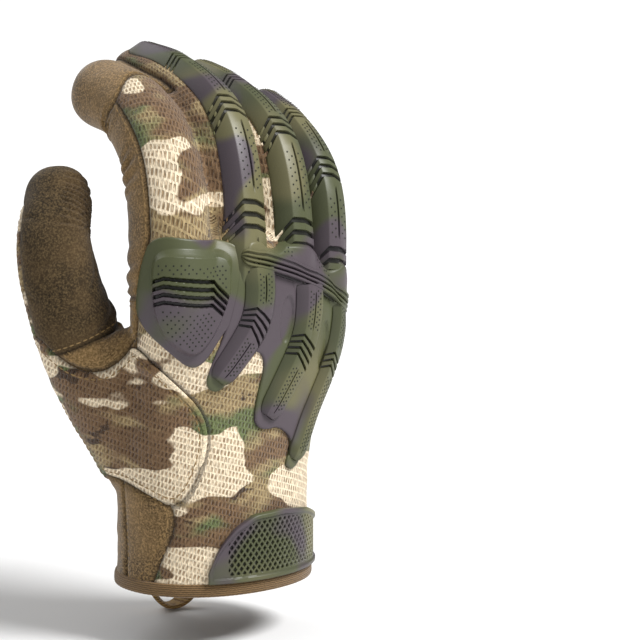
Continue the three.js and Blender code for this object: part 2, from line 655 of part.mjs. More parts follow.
const bandGroove = (share) => {
  const line = BAND_UPPER.map(([u, v], i) => [
    THREE.MathUtils.lerp(u, BAND_LOWER[i][0], share),
    THREE.MathUtils.lerp(v, BAND_LOWER[i][1], share),
  ]);
  line[0][0] -= 3;
  line.at(-1)[0] += 3;
  return [...line, ...line.map(([u, v]) => [u, v - GROOVE_WIDTH]).reverse()];
};
const band = [...BAND_UPPER, ...[...BAND_LOWER].reverse()];
const mainGuard = union([
  patch(GUARD_FLANGE, BACK_VIEW, GUARD_DEPTH, FLANGE_HEIGHT),
  ...GUARD_STRUTS.map((outline, i) =>
    raised(outline, BACK_VIEW, GUARD_DEPTH, STRUT_HEIGHT, chevrons(STRUT_GROOVES[i])),
  ),
  raised(band, BACK_VIEW, GUARD_DEPTH, BAND_HEIGHT, BAND_GROOVES.map(bandGroove)),
  ...GUARDED.map(strand),
]);
const besideIndex = prism(grown(INDEX_FLANGE, GAP), THUMB_VIEW, INDEX_DEPTH - GAP, PAST_SKIN);
addPiece("knuckle_guard", mainGuard.subtract(skin).subtract(besideIndex), RUBBER, 0.6);

// Patches of the palm
const overlay = patch(OVERLAY, OVERLAY_VIEW, PATCH_DEPTH, PATCH_HEIGHT);
addPiece("palm_overlay", overlay.subtract(skin), SUEDE, 0.95);
addPiece("heel_pad", patch(HEEL_PAD, PALM_VIEW, PATCH_DEPTH, PAD_HEIGHT).subtract(skin), SUEDE, 0.95);
addPiece("thenar_pad", patch(THENAR_PAD, PALM_VIEW, PATCH_DEPTH, PAD_HEIGHT).subtract(skin), SUEDE, 0.95);

// A point on the cuff at a direction round the wrist, and the direction out from it
function cuffPoint(turn, height, offset) {
  const row = CUFF_SECTIONS[0];
  const angle = rad(turn - 90);
  const out = vec(Math.cos(angle), Math.sin(angle), 0);
  const halfX = (row.width * CUFF_WIDTH) / 2 + offset;
  const halfY = (row.depth * CUFF_DEPTH) / 2 + offset;
  const level = Math.abs(out.x / halfX) ** row.square + Math.abs(out.y / halfY) ** row.square;
  const reach = level ** (-1 / row.square);
  const point = vec(row.across * CUFF_WIDTH, row.behind * CUFF_DEPTH, height).addScaledVector(out, reach);
  return { point, out };
}

// The strap is a bar bent round the cuff, ribbed on the little-finger side of the palm
function strapAt(turn) {
  const next = Math.max(1, STRAP.findIndex((row) => row.turn >= turn));
  const [a, b] = [STRAP[next - 1], STRAP[next]];
  const t = (turn - a.turn) / (b.turn - a.turn);
  return { low: THREE.MathUtils.lerp(a.low, b.low, t), high: THREE.MathUtils.lerp(a.high, b.high, t) };
}
const smoothRows = STRAP.filter((row) => row.turn < STRAP_RIBS.from || row.turn > STRAP_RIBS.to);
const strapStops = smoothRows.map((row) => ({ turn: row.turn, dip: 0 }));
for (let i = 0; i < STRAP_RIBS.count; i++) {
  const start = THREE.MathUtils.lerp(STRAP_RIBS.from, STRAP_RIBS.to, i / STRAP_RIBS.count);
  const [low, high] = [start + 0.4, start + 0.4 + 2 * STRAP_RIBS.width];
  strapStops.push({ turn: low, dip: 0 }, { turn: low + 0.2, dip: STRAP_RIBS.depth });
  strapStops.push({ turn: high - 0.2, dip: STRAP_RIBS.depth }, { turn: high, dip: 0 });
}
strapStops.sort((p, q) => p.turn - q.turn);
function strapSolid(stops, grow) {
  const rings = stops.map((stop) => {
    const { low, high } = strapAt(stop.turn);
    const at = (offset, height) => cuffPoint(stop.turn, height, offset).point;
    const outside = STRAP_HEIGHT + GAP - stop.dip + grow;
    return [at(-3, low - grow), at(outside, low - grow), at(outside, high + grow), at(-3, high + grow)];
  });
  return solid(loft(rings));
}
addPiece("cuff_strap", strapSolid(strapStops, 0).subtract(skin), RUBBER, 0.6);

// The bound hem: a ring that caps the fabric's lower edge
const hemRing = (z, out) => cuffRing(CUFF_SECTIONS[0], z, out, PALM_SIDES);
const hemOuter = solid(loft([0, HEM_HEIGHT].map((z) => hemRing(z, HEM_PROUD))));
const hemInside = -FABRIC_WALL - HEM_INSIDE;
const hemInner = solid(loft([-1, HEM_HEIGHT + 1].map((z) => hemRing(z, hemInside))));
addPiece("hem_binding", hemOuter.subtract(hemInner), BINDING, 0.8);

// The slit's tape ends clear of the strap wherever the strap runs
const strapRoom = strapSolid(STRAP.map((row) => ({ turn: row.turn, dip: 0 })), GAP);
const slit = prism(SLIT_INNER, SLIT_VIEW, 0, PAST_SKIN).add(skin).add(strapRoom);
addPiece("slit_binding", patch(SLIT_OUTER, SLIT_VIEW, SLIT_DEPTH, SLIT_HEIGHT).subtract(slit), TAPE, 0.8);

// The pull loop: flat tape that lies on the hem at both ends and turns on edge at the bottom of its U
function loopSolid() {
  const rings = [];
  for (let i = 0; i <= LOOP.steps; i++) {
    const a = Math.PI * (i / LOOP.steps);
    const at = (angle) => {
      const turn = LOOP.turn - LOOP.spread * Math.cos(angle);
      return cuffPoint(turn, LOOP.top - LOOP.drop * Math.sin(angle), HEM_PROUD + LOOP.away);
    };
    const { point, out } = at(a);
    const along = at(a + 0.01).point.sub(at(a - 0.01).point).normalize();
    const across = vec(0, 0, 0).crossVectors(Z, out);
    const wide = across.multiplyScalar(Math.cos(a)).addScaledVector(out, Math.sin(a));
    wide.addScaledVector(along, -wide.dot(along)).normalize();
    const thin = vec(0, 0, 0).crossVectors(along, wide);
    const [w, t] = [LOOP.width / 2, LOOP.thick / 2];
    const corners = [[-w, -t], [w, -t], [w, t], [-w, t]];
    rings.push(corners.map(([u, v]) => point.clone().addScaledVector(wide, u).addScaledVector(thin, v)));
  }
  return solid(loft(rings));
}
addPiece("pull_loop", loopSolid(), TAPE, 0.8);

export default group;
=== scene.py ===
"""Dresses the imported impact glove: knit and suede panels, guards, strap, bindings, stitches and stage."""

import math

import bmesh
import bpy
import numpy as np
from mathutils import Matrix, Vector, kdtree
from mathutils.bvhtree import BVHTree


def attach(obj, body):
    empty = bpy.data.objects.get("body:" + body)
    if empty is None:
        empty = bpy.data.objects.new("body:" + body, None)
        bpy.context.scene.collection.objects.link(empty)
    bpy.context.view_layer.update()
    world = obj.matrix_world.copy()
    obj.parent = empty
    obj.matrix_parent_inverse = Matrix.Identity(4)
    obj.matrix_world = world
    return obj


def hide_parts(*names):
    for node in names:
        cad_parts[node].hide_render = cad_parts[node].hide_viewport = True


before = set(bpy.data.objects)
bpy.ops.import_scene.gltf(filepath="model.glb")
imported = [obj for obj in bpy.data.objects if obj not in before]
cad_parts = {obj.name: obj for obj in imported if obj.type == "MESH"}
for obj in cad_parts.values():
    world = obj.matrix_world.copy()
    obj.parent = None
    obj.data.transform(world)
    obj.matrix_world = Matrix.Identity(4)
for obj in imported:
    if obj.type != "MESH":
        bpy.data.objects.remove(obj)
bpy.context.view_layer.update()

bl_info = {
    "name": "Impact glove",
    "version": (1, 0, 0),
    "blender": (4, 5, 0),
    "location": "3D View > Sidebar > Glove",
    "description": "Builds the cloth, suede and moulded rubber of a right-hand impact glove",
    "category": "Object",
}

# The form, as the part's source has it: millimetres, degrees, and shares of the sizes named first
KNUCKLE_HEIGHT, WRIST_HEIGHT = 117, 44
PALM_WIDTH, PALM_DEPTH = 96, 34
CUFF_WIDTH, CUFF_DEPTH = 76, 62
FINGER_LENGTH, FINGER_WIDTH, FINGER_DEPTH = 108, 24, 27
THUMB_LENGTH, THUMB_WIDTH = 105, 29
SHELL_BOTTOM = 4.3
HEM_PROUD = 1.2
ARCH_FALL = 0.76
MM = 0.001

# rise, across, behind, width, depth, squareness, arch
CUFF_SECTIONS = [
    (0, -0.03, 0.12, 0.99, 1, 2.1, 0),
    (0.45, -0.035, 0.12, 0.99, 0.95, 2.1, 0),
    (0.9, -0.04, 0.105, 1.01, 0.86, 2.2, 0),
]
PALM_SECTIONS = [
    (0.25, -0.025, 0.12, 0.86, 1.34, 2.3, 0),
    (0.5, 0, 0.03, 0.89, 1.2, 2.5, 0.4),
    (0.75, 0.005, -0.07, 0.91, 1.05, 2.7, 0.8),
    (0.95, 0.01, -0.12, 0.92, 0.95, 2.7, 1),
    (1.1, 0.01, -0.11, 0.89, 0.83, 2.4, 1),
    (1.19, 0.025, -0.09, 0.86, 0.58, 2.2, 1),
    (1.23, 0.03, -0.08, 0.78, 0.25, 2.2, 1),
]
# across, behind, rise, length, width, lean, three bends
FINGERS = {
    "index": (-0.325, -0.1, 0.95, 0.91, 1.1, 8, (14, 31, 27)),
    "middle": (-0.07, -0.12, 1, 0.99, 1, 7, (16, 41, 20)),
    "ring": (0.175, -0.12, 0.94, 0.96, 0.98, 7, (15, 40, 18)),
    "little": (0.372, -0.03, 0.88, 0.82, 0.9, 8, (9, 35, 20)),
}
BONE_SHARES = (0.467, 0.288, 0.2)
ROOT_SHARE, THUMB_ROOT_SHARE = 0.3, 0.18
THUMB_ROOT = (-0.26, 0.56, 0.45)
THUMB_BONES = ((0.44, 32, 156), (0.345, 15, 155), (0.185, 33, 45))
THUMB_NAIL_COMPASS = 140
# joint, half width share, half depth share
FINGER_SECTIONS = [(-1, 0.7, 0.6), (0, 0.98, 1.12), (0.6, 1, 1.03), (1, 0.98, 0.97), (1.45, 0.96, 0.93),
                   (2.05, 0.94, 0.88)]
THUMB_SECTIONS = [(-1, 1.1, 1.15), (0, 1.4, 1.35), (0.5, 1.3, 1.22), (1, 1.08, 1.06), (1.6, 0.97, 0.95),
                  (2.2, 0.9, 0.87), (3, 0.84, 0.8)]
WEB_BALLS = [(-0.49, 0.62, 0.7, 0.36), (-0.33, 0.3, 0.4, 0.38), (-0.34, 0.06, 0.78, 0.34),
             (-0.24, 0.06, 0.45, 0.4)]

# Where the knit back ends: height, depth on the thumb side and on the little-finger side
BACK_EDGE = [(-5, 2, 2), (40, 4, 5), (80, 0, 3), (104, -2, 0), (133, -6, -3.5)]
WRIST_SEAM = [(-70, 43), (-41, 41), (-33, 31), (-39, 7), (-39, -9), (-70, -9)]
THUMB_GUSSET = [(-76, 99), (-59.6, 84.2), (-47.5, 81.2), (-38.7, 87.3), (-35.1, 93.5), (-22.3, 81),
                (-9.1, 67.5),
                (-8.4, 52), (-18.2, 31.4), (-32.8, 38.5), (-41.2, 41.5), (-76, 44)]
SADDLE = [(-76, 114), (-76, 99.6), (-59.6, 84.8), (-47.5, 81.8), (-38.7, 87.9), (-34.9, 94.6), (-31.5, 98),
          (-31.5, 112), (-45, 105)]
WRIST_PANEL = [(-70, 60), (-30, 60), (-30, 29), (-39, 7), (-39, -9), (-70, -9)]
BACK_VIEW, THUMB_VIEW, PALM_VIEW, OVERLAY_VIEW, SLIT_VIEW = 0, -39, 140, 180, 90

# The skin's lofts stand this much outside the source's sizes, because relaxing draws them in
GROWN = 0.35
PALM_SIDES, DIGIT_SIDES = 110, 56
DIGIT_SQUARE = 2.2
VOXEL = 0.9
RELAXED = 14
FABRIC = 1.4
# The first and last joint number of a digit's centre line, from its root in the palm to its tip
ROOT, TIP = -1, 3
# How deep a laid-on piece reaches into the cloth, and how far perforations stand out of the rubber
SUNK, DOT_PROUD, BAR_FOOT = 0.15, 0.03, 0.1
TAPE_ROUNDING = 0.3


def linear(code):
    """An sRGB hex colour as the linear values that a shader takes."""
    parts = [int(code[i:i + 2], 16) / 255 for i in (1, 3, 5)]
    return (*(c / 12.92 if c <= 0.04045 else ((c + 0.055) / 1.055) ** 2.4 for c in parts), 1.0)


def unit(v):
    return v / np.maximum(np.linalg.norm(v, axis=-1, keepdims=True), 1e-9)


def smoothstep(x):
    x = np.clip(x, 0, 1)
    return x * x * (3 - 2 * x)


def bell(x, width):
    """1 at zero, falling to nothing a few widths away."""
    return np.exp(-(x / width) ** 2)


def within(x, low, fade_in, high, fade_out):
    """1 between two levels, fading in after the first and out before the second."""
    return smoothstep((x - low) / fade_in) * smoothstep((high - x) / fade_out)


def noise(points, size, seed=0):
    """Smooth value noise from -1 to 1 with lumps of about that size, the same on every run."""
    q = points / size + seed * 7.31
    cell = np.floor(q).astype(np.int64)
    f = q - cell
    f = f * f * (3 - 2 * f)
    total = np.zeros(len(points))
    for corner in range(8):
        step = np.array([corner & 1, corner >> 1 & 1, corner >> 2 & 1])
        h = ((cell + step) * np.array([73856093, 19349663, 83492791])).sum(1) + seed * 2654435761
        h = ((h ^ (h >> 13)) * 1274126177) & 0x7FFFFFFF
        h = ((h ^ (h >> 15)) * 668265263) & 0x7FFFFFFF
        weight = np.prod(np.where(step == 1, f, 1 - f), axis=1)
        total += weight * (h / 0x3FFFFFFF - 1)
    return total


# Curves and frames of the fingers


class Digit:
    """A finger or the thumb: its centre line through its joints, and its half sizes along it."""

    def __init__(self, joints, sections, width, depth, side=None, nail=None):
        self.joints = np.array(joints, float)
        self.sections = np.array(sections, float)
        self.width, self.depth, self.side, self.nail = width, depth, side, nail
        self.bone = np.linalg.norm(np.diff(self.joints, axis=0), axis=1).sum() / 4

    def point(self, joint):
        p = self.joints
        at = min(max(joint - ROOT, 0), len(p) - 1)
        i = min(int(at), len(p) - 2)
        w = at - i
        before = p[i - 1] if i > 0 else 2 * p[0] - p[1]
        after = p[i + 2] if i + 2 < len(p) else 2 * p[-1] - p[-2]
        a, b = p[i], p[i + 1]
        d0, d1, d2 = (np.linalg.norm(x) ** 0.5 for x in (a - before, b - a, after - b))
        t1 = ((a - before) / d0 - (b - before) / (d0 + d1) + (b - a) / d1) * d1
        t2 = ((b - a) / d1 - (after - a) / (d1 + d2) + (after - b) / d2) * d1
        return a + t1 * w + (3 * (b - a) - 2 * t1 - t2) * w ** 2 + (2 * (a - b) + t1 + t2) * w ** 3

    def frame(self, joint):
        inside = min(max(joint, ROOT), TIP)
        centre = self.point(inside)
        along = unit(self.point(min(inside + 0.001, TIP)) - self.point(max(inside - 0.001, ROOT)))
        side = self.side if self.nail is None else unit(np.cross(along, self.nail))
        return centre, along, side, unit(np.cross(side, along))

    def halves(self, joint):
        rows = self.sections
        return (np.interp(joint, rows[:, 0], rows[:, 1]) * self.width / 2,
                np.interp(joint, rows[:, 0], rows[:, 2]) * self.depth / 2)

    def at(self, joint, side, back, along=0.0):
        centre, a, s, b = self.frame(joint)
        return centre + s * side + b * back + a * along


def finger(row):
    across, behind, rise, length, width, lean, bends = row
    lean = math.radians(lean)
    up = np.array([math.sin(lean), 0, math.cos(lean)])
    knuckle = np.array([across * PALM_WIDTH, behind * PALM_DEPTH, rise * KNUCKLE_HEIGHT])
    size = length * FINGER_LENGTH
    joints = [knuckle - up * ROOT_SHARE * size, knuckle]
    bend = 0
    for share, turn in zip(BONE_SHARES, bends):
        bend += math.radians(turn)
        joints.append(joints[-1] + (up * math.cos(bend)
                                    + np.array([0, 1, 0]) * math.sin(bend)) * share * size)
    side = np.array([math.cos(lean), 0, -math.sin(lean)])
    return Digit(joints, FINGER_SECTIONS, width * FINGER_WIDTH, (width + 1) * FINGER_DEPTH / 2, side=side)


def thumb():
    def direction(bone):
        lean, compass = math.radians(bone[1]), math.radians(bone[2])
        return np.array([math.sin(lean) * math.cos(compass), math.sin(lean) * math.sin(compass),
                         math.cos(lean)])

    root = np.array(THUMB_ROOT) * (PALM_WIDTH, PALM_DEPTH, KNUCKLE_HEIGHT)
    joints = [root - direction(THUMB_BONES[0]) * THUMB_ROOT_SHARE * THUMB_LENGTH, root]
    for bone in THUMB_BONES:
        joints.append(joints[-1] + direction(bone) * bone[0] * THUMB_LENGTH)
    compass = math.radians(THUMB_NAIL_COMPASS)
    return Digit(joints, THUMB_SECTIONS, THUMB_WIDTH, THUMB_WIDTH,
                 nail=np.array([math.cos(compass), math.sin(compass), 0]))


DIGITS = {name: finger(row) for name, row in FINGERS.items()}
DIGITS["thumb"] = thumb()

# Rings, lofts and flat outlines


def ring(centre, u, v, half_u, half_v, square, sides):
    a = 2 * np.pi * (np.arange(sides) + 0.5) / sides
    c = np.sign(np.cos(a)) * np.abs(np.cos(a)) ** (2 / square)
    d = np.sign(np.sin(a)) * np.abs(np.sin(a)) ** (2 / square)
    return centre + np.outer(c * half_u, u) + np.outer(d * half_v, v)


def loft(rings, closed=False):
    """Vertices and quads through rings of equally many points, with a flat face over each end."""
    rings = np.array(rings)
    count, sides = rings.shape[:2]
    faces = []
    for r in range(count if closed else count - 1):
        a = r * sides + np.arange(sides)
        b = r * sides + (np.arange(sides) + 1) % sides
        shift = ((r + 1) % count - r) * sides
        faces += np.stack([a, b, b + shift, a + shift], 1).tolist()
    if not closed:
        faces += [list(range(sides))[::-1], list(range((count - 1) * sides, count * sides))]
    return rings.reshape(-1, 3), faces


def palm_rings(offset):
    rows = [(r * WRIST_HEIGHT, a * CUFF_WIDTH, b * CUFF_DEPTH, w * CUFF_WIDTH / 2, d * CUFF_DEPTH / 2, n,
             arch)
            for r, a, b, w, d, n, arch in CUFF_SECTIONS]
    rows[0] = (SHELL_BOTTOM, *rows[0][1:])
    rows += [(WRIST_HEIGHT + r * (KNUCKLE_HEIGHT - WRIST_HEIGHT), a * PALM_WIDTH, b * PALM_DEPTH,
              w * PALM_WIDTH / 2,
              d * PALM_DEPTH / 2, n, arch) for r, a, b, w, d, n, arch in PALM_SECTIONS]
    rows = np.array(rows)
    heights = np.append(np.arange(-8, rows[-1, 0], 1.5), rows[-1, 0])
    table = np.stack([np.interp(heights, rows[:, 0], rows[:, i]) for i in range(7)], 1)
    for _ in range(3):
        table[1:-1, 1:] = (table[:-2, 1:] + 2 * table[1:-1, 1:] + table[2:, 1:]) / 4
    rings = []
    for z, (_, x, y, w, d, n, arch) in zip(heights, table):
        points = ring(np.array([x, y, z]), np.array([1, 0, 0]), np.array([0, 1, 0]), w + offset, d + offset,
                      n, PALM_SIDES)
        points[:, 2] -= arch * ARCH_FALL * (points[:, 0]
                                            - FINGERS["middle"][0] * PALM_WIDTH) ** 2 / PALM_WIDTH
        rings.append(points)
    return rings


def digit_rings(digit, offset):
    rings = []
    for joint in np.linspace(ROOT, TIP, 81):
        centre, _, side, back = digit.frame(joint)
        w, d = digit.halves(joint)
        rings.append(ring(centre, side, back, w + offset, d + offset, DIGIT_SQUARE, DIGIT_SIDES))
    w, d = digit.halves(TIP)
    for rise in (0.2, 0.4, 0.6, 0.75, 0.86, 0.94, 0.985):
        centre = digit.at(TIP, 0, 0, rise * ((w + d) / 2 + offset))
        shrink = math.sqrt(1 - rise ** 2)
        _, _, side, back = digit.frame(TIP)
        rings.append(ring(centre, side, back, (w + offset) * shrink, (d + offset) * shrink, DIGIT_SQUARE,
                          DIGIT_SIDES))
    return rings


def rounded(outline, times=3):
    """A closed outline with its corners cut down into curves."""
    points = np.array(outline, float)
    for _ in range(times):
        after = np.roll(points, -1, axis=0)
        points = np.stack([points * 0.75 + after * 0.25, points * 0.25 + after * 0.75], 1).reshape(-1, 2)
    return points


def inside_of(points, outline):
    """Signed distance of flat points to a closed outline, negative inside."""
    best = np.full(len(points), 1e9)
    odd = np.zeros(len(points), bool)
    for a, b in zip(outline, np.roll(outline, -1, axis=0)):
        e = b - a
        t = np.clip(((points - a) @ e) / max(e @ e, 1e-9), 0, 1)
        best = np.minimum(best, np.linalg.norm(points - a - t[:, None] * e, axis=1))
        crossing = (a[1] > points[:, 1]) != (b[1] > points[:, 1])
        with np.errstate(divide="ignore", invalid="ignore"):
            x = a[0] + (points[:, 1] - a[1]) * e[0] / e[1]
        odd ^= crossing & (points[:, 0] < x)
    return np.where(odd, -best, best)


def axes_of(azimuth):
    a = math.radians(azimuth)
    return np.array([math.cos(a), math.sin(a), 0]), np.array([math.sin(a), -math.cos(a), 0])


def prism_field(points, outline, azimuth, near):
    """Signed distance to an outline seen from an azimuth, for what lies nearer than a depth."""
    right, toward = axes_of(azimuth)
    flat = np.stack([points @ right, points[:, 2]], 1)
    return np.maximum(inside_of(flat, rounded(outline, 2)), near - points @ toward)


# Triangle meshes in arrays


def cut(data, faces, label, field, new):
    """Splits unlabelled faces along the zero line of a field column; the negative side gets the new label."""
    f = data[:, field].copy()
    f[np.abs(f) < 0.09] = 0
    sign = np.sign(f).astype(int)
    todo = np.flatnonzero(label == 0)
    s = sign[faces[todo]]
    crossing = (s.max(1) > 0) & (s.min(1) < 0)
    label[todo[~crossing & (s.max(1) <= 0)]] = new
    tri, ts = faces[todo[crossing]], s[crossing]
    keep = np.ones(len(faces), bool)
    keep[todo[crossing]] = False
    has_zero = (ts == 0).any(1)
    lone = np.where(has_zero, (ts == 0).argmax(1), (ts * np.sign(ts.sum(1, keepdims=True)) < 0).argmax(1))
    turn = (lone[:, None] + np.arange(3)) % 3
    tri, ts = np.take_along_axis(tri, turn, 1), np.take_along_axis(ts, turn, 1)
    pairs = {"01": tri[:, [0, 1]], "02": tri[:, [0, 2]], "12": tri[:, [1, 2]]}
    every = np.sort(np.concatenate([pairs["01"][~has_zero], pairs["02"][~has_zero], pairs["12"][has_zero]]),
                    axis=1)
    edges, where = np.unique(every, axis=0, return_inverse=True)
    where = where.reshape(-1)
    t = f[edges[:, 0]] / (f[edges[:, 0]] - f[edges[:, 1]])
    made = data[edges[:, 0]] * (1 - t[:, None]) + data[edges[:, 1]] * t[:, None]
    made[:, field] = 0
    n, k = len(data), int((~has_zero).sum())
    p01, p02, p12 = where[:k] + n, where[k:2 * k] + n, where[2 * k:] + n
    a, sa = tri[~has_zero], ts[~has_zero]
    b, sb = tri[has_zero], ts[has_zero]
    fresh = [np.stack(x, 1) for x in ((a[:, 0], p01, p02), (p01, a[:, 1], a[:, 2]), (p01, a[:, 2], p02),
                                      (b[:, 0], b[:, 1], p12), (b[:, 0], p12, b[:, 2]))]
    side = [sa[:, 0], sa[:, 1], sa[:, 1], sb[:, 1], sb[:, 2]]
    data = np.concatenate([data, made])
    faces = np.concatenate([faces[keep], *fresh])
    label = np.concatenate([label[keep], np.where(np.concatenate(side) < 0, new, 0)])
    return data, faces, label


def compact(data, faces):
    used, where = np.unique(faces, return_inverse=True)
    return data[used], where.reshape(faces.shape), used


def normals_of(points, faces):
    a, b, c = (points[faces[:, i]] for i in range(3))
    flat = np.cross(b - a, c - a)
    out = np.zeros_like(points)
    for i in range(3):
        for axis in range(3):
            out[:, axis] += np.bincount(faces[:, i], flat[:, axis], len(points))
    return unit(out)


def border_edges(faces):
    """Directed edges that belong to one face only."""
    edges = np.concatenate([faces[:, [0, 1]], faces[:, [1, 2]], faces[:, [2, 0]]])
    _, first, count = np.unique(np.sort(edges, 1), axis=0, return_index=True, return_counts=True)
    return edges[first[count == 1]]


def closed(top, bottom, faces):
    """A sheet with thickness: its upper side, its under side, and a wall round every border."""
    n = len(top)
    edges = border_edges(faces)
    a, b = edges[:, 0], edges[:, 1]
    walls = np.concatenate([np.stack([b, a, a + n], 1), np.stack([b, a + n, b + n], 1)])
    return np.concatenate([top, bottom]), np.concatenate([faces, faces[:, ::-1] + n, walls])


def relaxed(points, faces, times):
    """Points pulled halfway towards the middle of their neighbours, that many times."""
    edges = np.concatenate([faces[:, [i, (i + 1) % faces.shape[1]]] for i in range(faces.shape[1])])
    edges = np.unique(np.sort(edges, 1), axis=0)
    a, b = edges[:, 0], edges[:, 1]
    count = np.maximum(np.bincount(a, minlength=len(points)) + np.bincount(b, minlength=len(points)), 1)
    for _ in range(times):
        total = np.stack([np.bincount(a, points[b, i], len(points))
                          + np.bincount(b, points[a, i], len(points))
                          for i in range(3)], 1)
        points = points + (total / count[:, None] - points) / 2
    return points


def linked(name, data):
    """A new object in the scene that shows the data."""
    obj = bpy.data.objects.new(name, data)
    bpy.context.scene.collection.objects.link(obj)
    return obj


def piece(name, points, faces, material, slot, nodes=(), sharp=35, uv=None, tone=None):
    """A finished mesh object from millimetres, riding on the body and standing for its CAD nodes."""
    mesh = bpy.data.meshes.new(name)
    mesh.from_pydata((np.asarray(points) * MM).tolist(), [],
                     np.asarray(faces).tolist() if isinstance(faces, np.ndarray) else faces)
    mesh.validate()
    mesh.shade_smooth()
    mesh.set_sharp_from_angle(angle=math.radians(sharp))
    if uv is not None:
        layer = mesh.uv_layers.new(name="weave")
        corner = np.zeros(len(mesh.loops), np.int32)
        mesh.loops.foreach_get("vertex_index", corner)
        layer.data.foreach_set("uv", (np.asarray(uv)[corner] * MM).astype(np.float32).ravel())
    # The shade attribute is painted shade: 1 on open surface, lower in grooves, seams, creases and recesses,
    # and the materials darken their colour by it; tone gives its values.
    attribute = mesh.attributes.new("shade", "FLOAT", "POINT")
    attribute.data.foreach_set("value", np.ones(len(mesh.vertices), np.float32)
                               if tone is None else np.asarray(tone, np.float32))
    mesh.materials.append(material)
    return worn(linked(name, mesh), slot, nodes)


def worn(obj, slot, nodes=()):
    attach(obj, "root")
    if nodes:
        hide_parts(*nodes)
    return obj


# The skin: one smooth closed form, kept for every piece that lies on it

SKIN = {}


def skin():
    """The smooth hand form as points, quads and normals, from lofts joined by a voxel remesh."""
    if SKIN:
        return SKIN
    mesh = bpy.data.meshes.new("form")
    points, faces = [], []
    parts = [loft(palm_rings(GROWN))] + [loft(digit_rings(digit, GROWN)) for digit in DIGITS.values()]
    ball = bmesh.new()
    for across, behind, rise, radius in WEB_BALLS:
        made = bmesh.ops.create_icosphere(ball, subdivisions=3, radius=radius * THUMB_WIDTH + GROWN)
        centre = Vector((across * PALM_WIDTH, behind * PALM_DEPTH, rise * KNUCKLE_HEIGHT))
        bmesh.ops.translate(ball, vec=centre, verts=made["verts"])
    corners = [v.co.copy() for v in ball.verts]
    ball.clear()
    for corner in corners:
        ball.verts.new(corner)
    bmesh.ops.convex_hull(ball, input=ball.verts)
    ball.verts.index_update()
    hull = [[v.index for v in f.verts] for f in ball.faces]
    parts.append((np.array([v.co for v in ball.verts]), hull))
    ball.free()
    start = 0
    for p, f in parts:
        points.append(p)
        faces += [[i + start for i in face] for face in f]
        start += len(p)
    mesh.from_pydata((np.concatenate(points) * MM).tolist(), [], faces)
    obj = linked("form", mesh)
    remesh = obj.modifiers.new("remesh", "REMESH")
    remesh.mode = "VOXEL"
    remesh.voxel_size = VOXEL * MM
    evaluated = obj.evaluated_get(bpy.context.evaluated_depsgraph_get())
    made = bpy.data.meshes.new_from_object(evaluated)
    p = np.zeros(len(made.vertices) * 3)
    made.vertices.foreach_get("co", p)
    p = p.reshape(-1, 3) / MM
    quads = np.array([list(f.vertices) for f in made.polygons if len(f.vertices) == 4])
    bpy.data.objects.remove(obj)
    p = relaxed(p, quads, RELAXED)
    faces = np.concatenate([quads[:, [0, 1, 2]], quads[:, [0, 2, 3]]])
    normals = normals_of(p, faces)
    SKIN.update(points=p, faces=faces, normals=normals, bvh=BVHTree.FromPolygons(p.tolist(), faces.tolist()))
    return SKIN


def nearest(points):
    """A search tree over points, which finds the nearest of them to a place."""
    tree = kdtree.KDTree(len(points))
    for i, point in enumerate(points):
        tree.insert(Vector(point), i)
    tree.balance()
    return tree


def digit_places(points):
    """For each digit: joint number, side and back of every point, and how far out it lies."""
    out = {}
    for name, digit in DIGITS.items():
        joints = np.linspace(ROOT, TIP, 241)
        frames = [digit.frame(j) for j in joints]
        tree = nearest([centre for centre, *_ in frames])
        near = np.array([tree.find(Vector(p))[1] for p in points])
        centre, along, side, back = (np.array([f[i] for f in frames])[near] for i in range(4))
        gap = points - centre
        ahead = (gap * along).sum(1)
        joint = joints[near] + ahead / np.where(near == len(joints) - 1, FINGER_DEPTH, digit.bone)
        s, b = (gap * side).sum(1), (gap * back).sum(1)
        w = np.interp(joint, digit.sections[:, 0], digit.sections[:, 1]) * digit.width / 2
        d = np.interp(joint, digit.sections[:, 0], digit.sections[:, 2]) * digit.depth / 2
        rho = np.hypot(s / w, b / d)
        out[name] = dict(joint=joint, side=s, back=b, w=w, d=d, rho=rho, bone=digit.bone)
    return out


def slab_field(place, low_joint, high_joint, left, right, low, high):
    """Signed distance to a box swept along a digit, its sides as shares of the half sizes."""
    j, s, b, w, d = (place[k] for k in ("joint", "side", "back", "w", "d"))
    return np.max([(low_joint - j) * place["bone"], (j - high_joint) * place["bone"], left * w - s,
                   s - right * w,
                   low * d - b, b - high * d, (place["rho"] - 1.32) * 12], axis=0)


def weave_places(points, places):
    """Distances across and along the cloth in millimetres, which the knit pattern follows."""
    x, y, z = points.T
    half_x, half_y = 44.0, np.interp(z, [0, 44, 70, 117], [29, 25, 20, 16])
    middle = np.interp(z, [0, 60, 117], [7.4, 4, -4])
    turn = np.arctan2(x / half_x, -(y - middle) / half_y)
    table = np.linspace(-np.pi, np.pi, 361)
    step = np.hypot(half_x * np.cos(table), 22 * np.sin(table)) * (table[1] - table[0])
    arc = np.cumsum(step) - step.sum() / 2
    u, v = np.interp(turn, table, arc), z.copy()
    for name, place in places.items():
        if name == "thumb":
            continue
        mix = smoothstep((place["joint"] - 0.1) / 0.3) * (place["rho"] < 1.3)
        around = np.arctan2(place["side"] / place["w"], place["back"] / place["d"]) * 12.8
        u = u * (1 - mix) + around * mix
        v = v * (1 - mix) + (place["joint"] * place["bone"] + 117) * mix
    right, _ = axes_of(THUMB_VIEW)
    thumb_side = (places["thumb"]["rho"] < 1.2) & (places["thumb"]["joint"] > 0)
    thumb_side |= prism_field(points, THUMB_GUSSET, THUMB_VIEW, 7) < 1
    return np.stack([np.where(thumb_side, points @ right, u), np.where(thumb_side, z * 1.03, v)], 1)


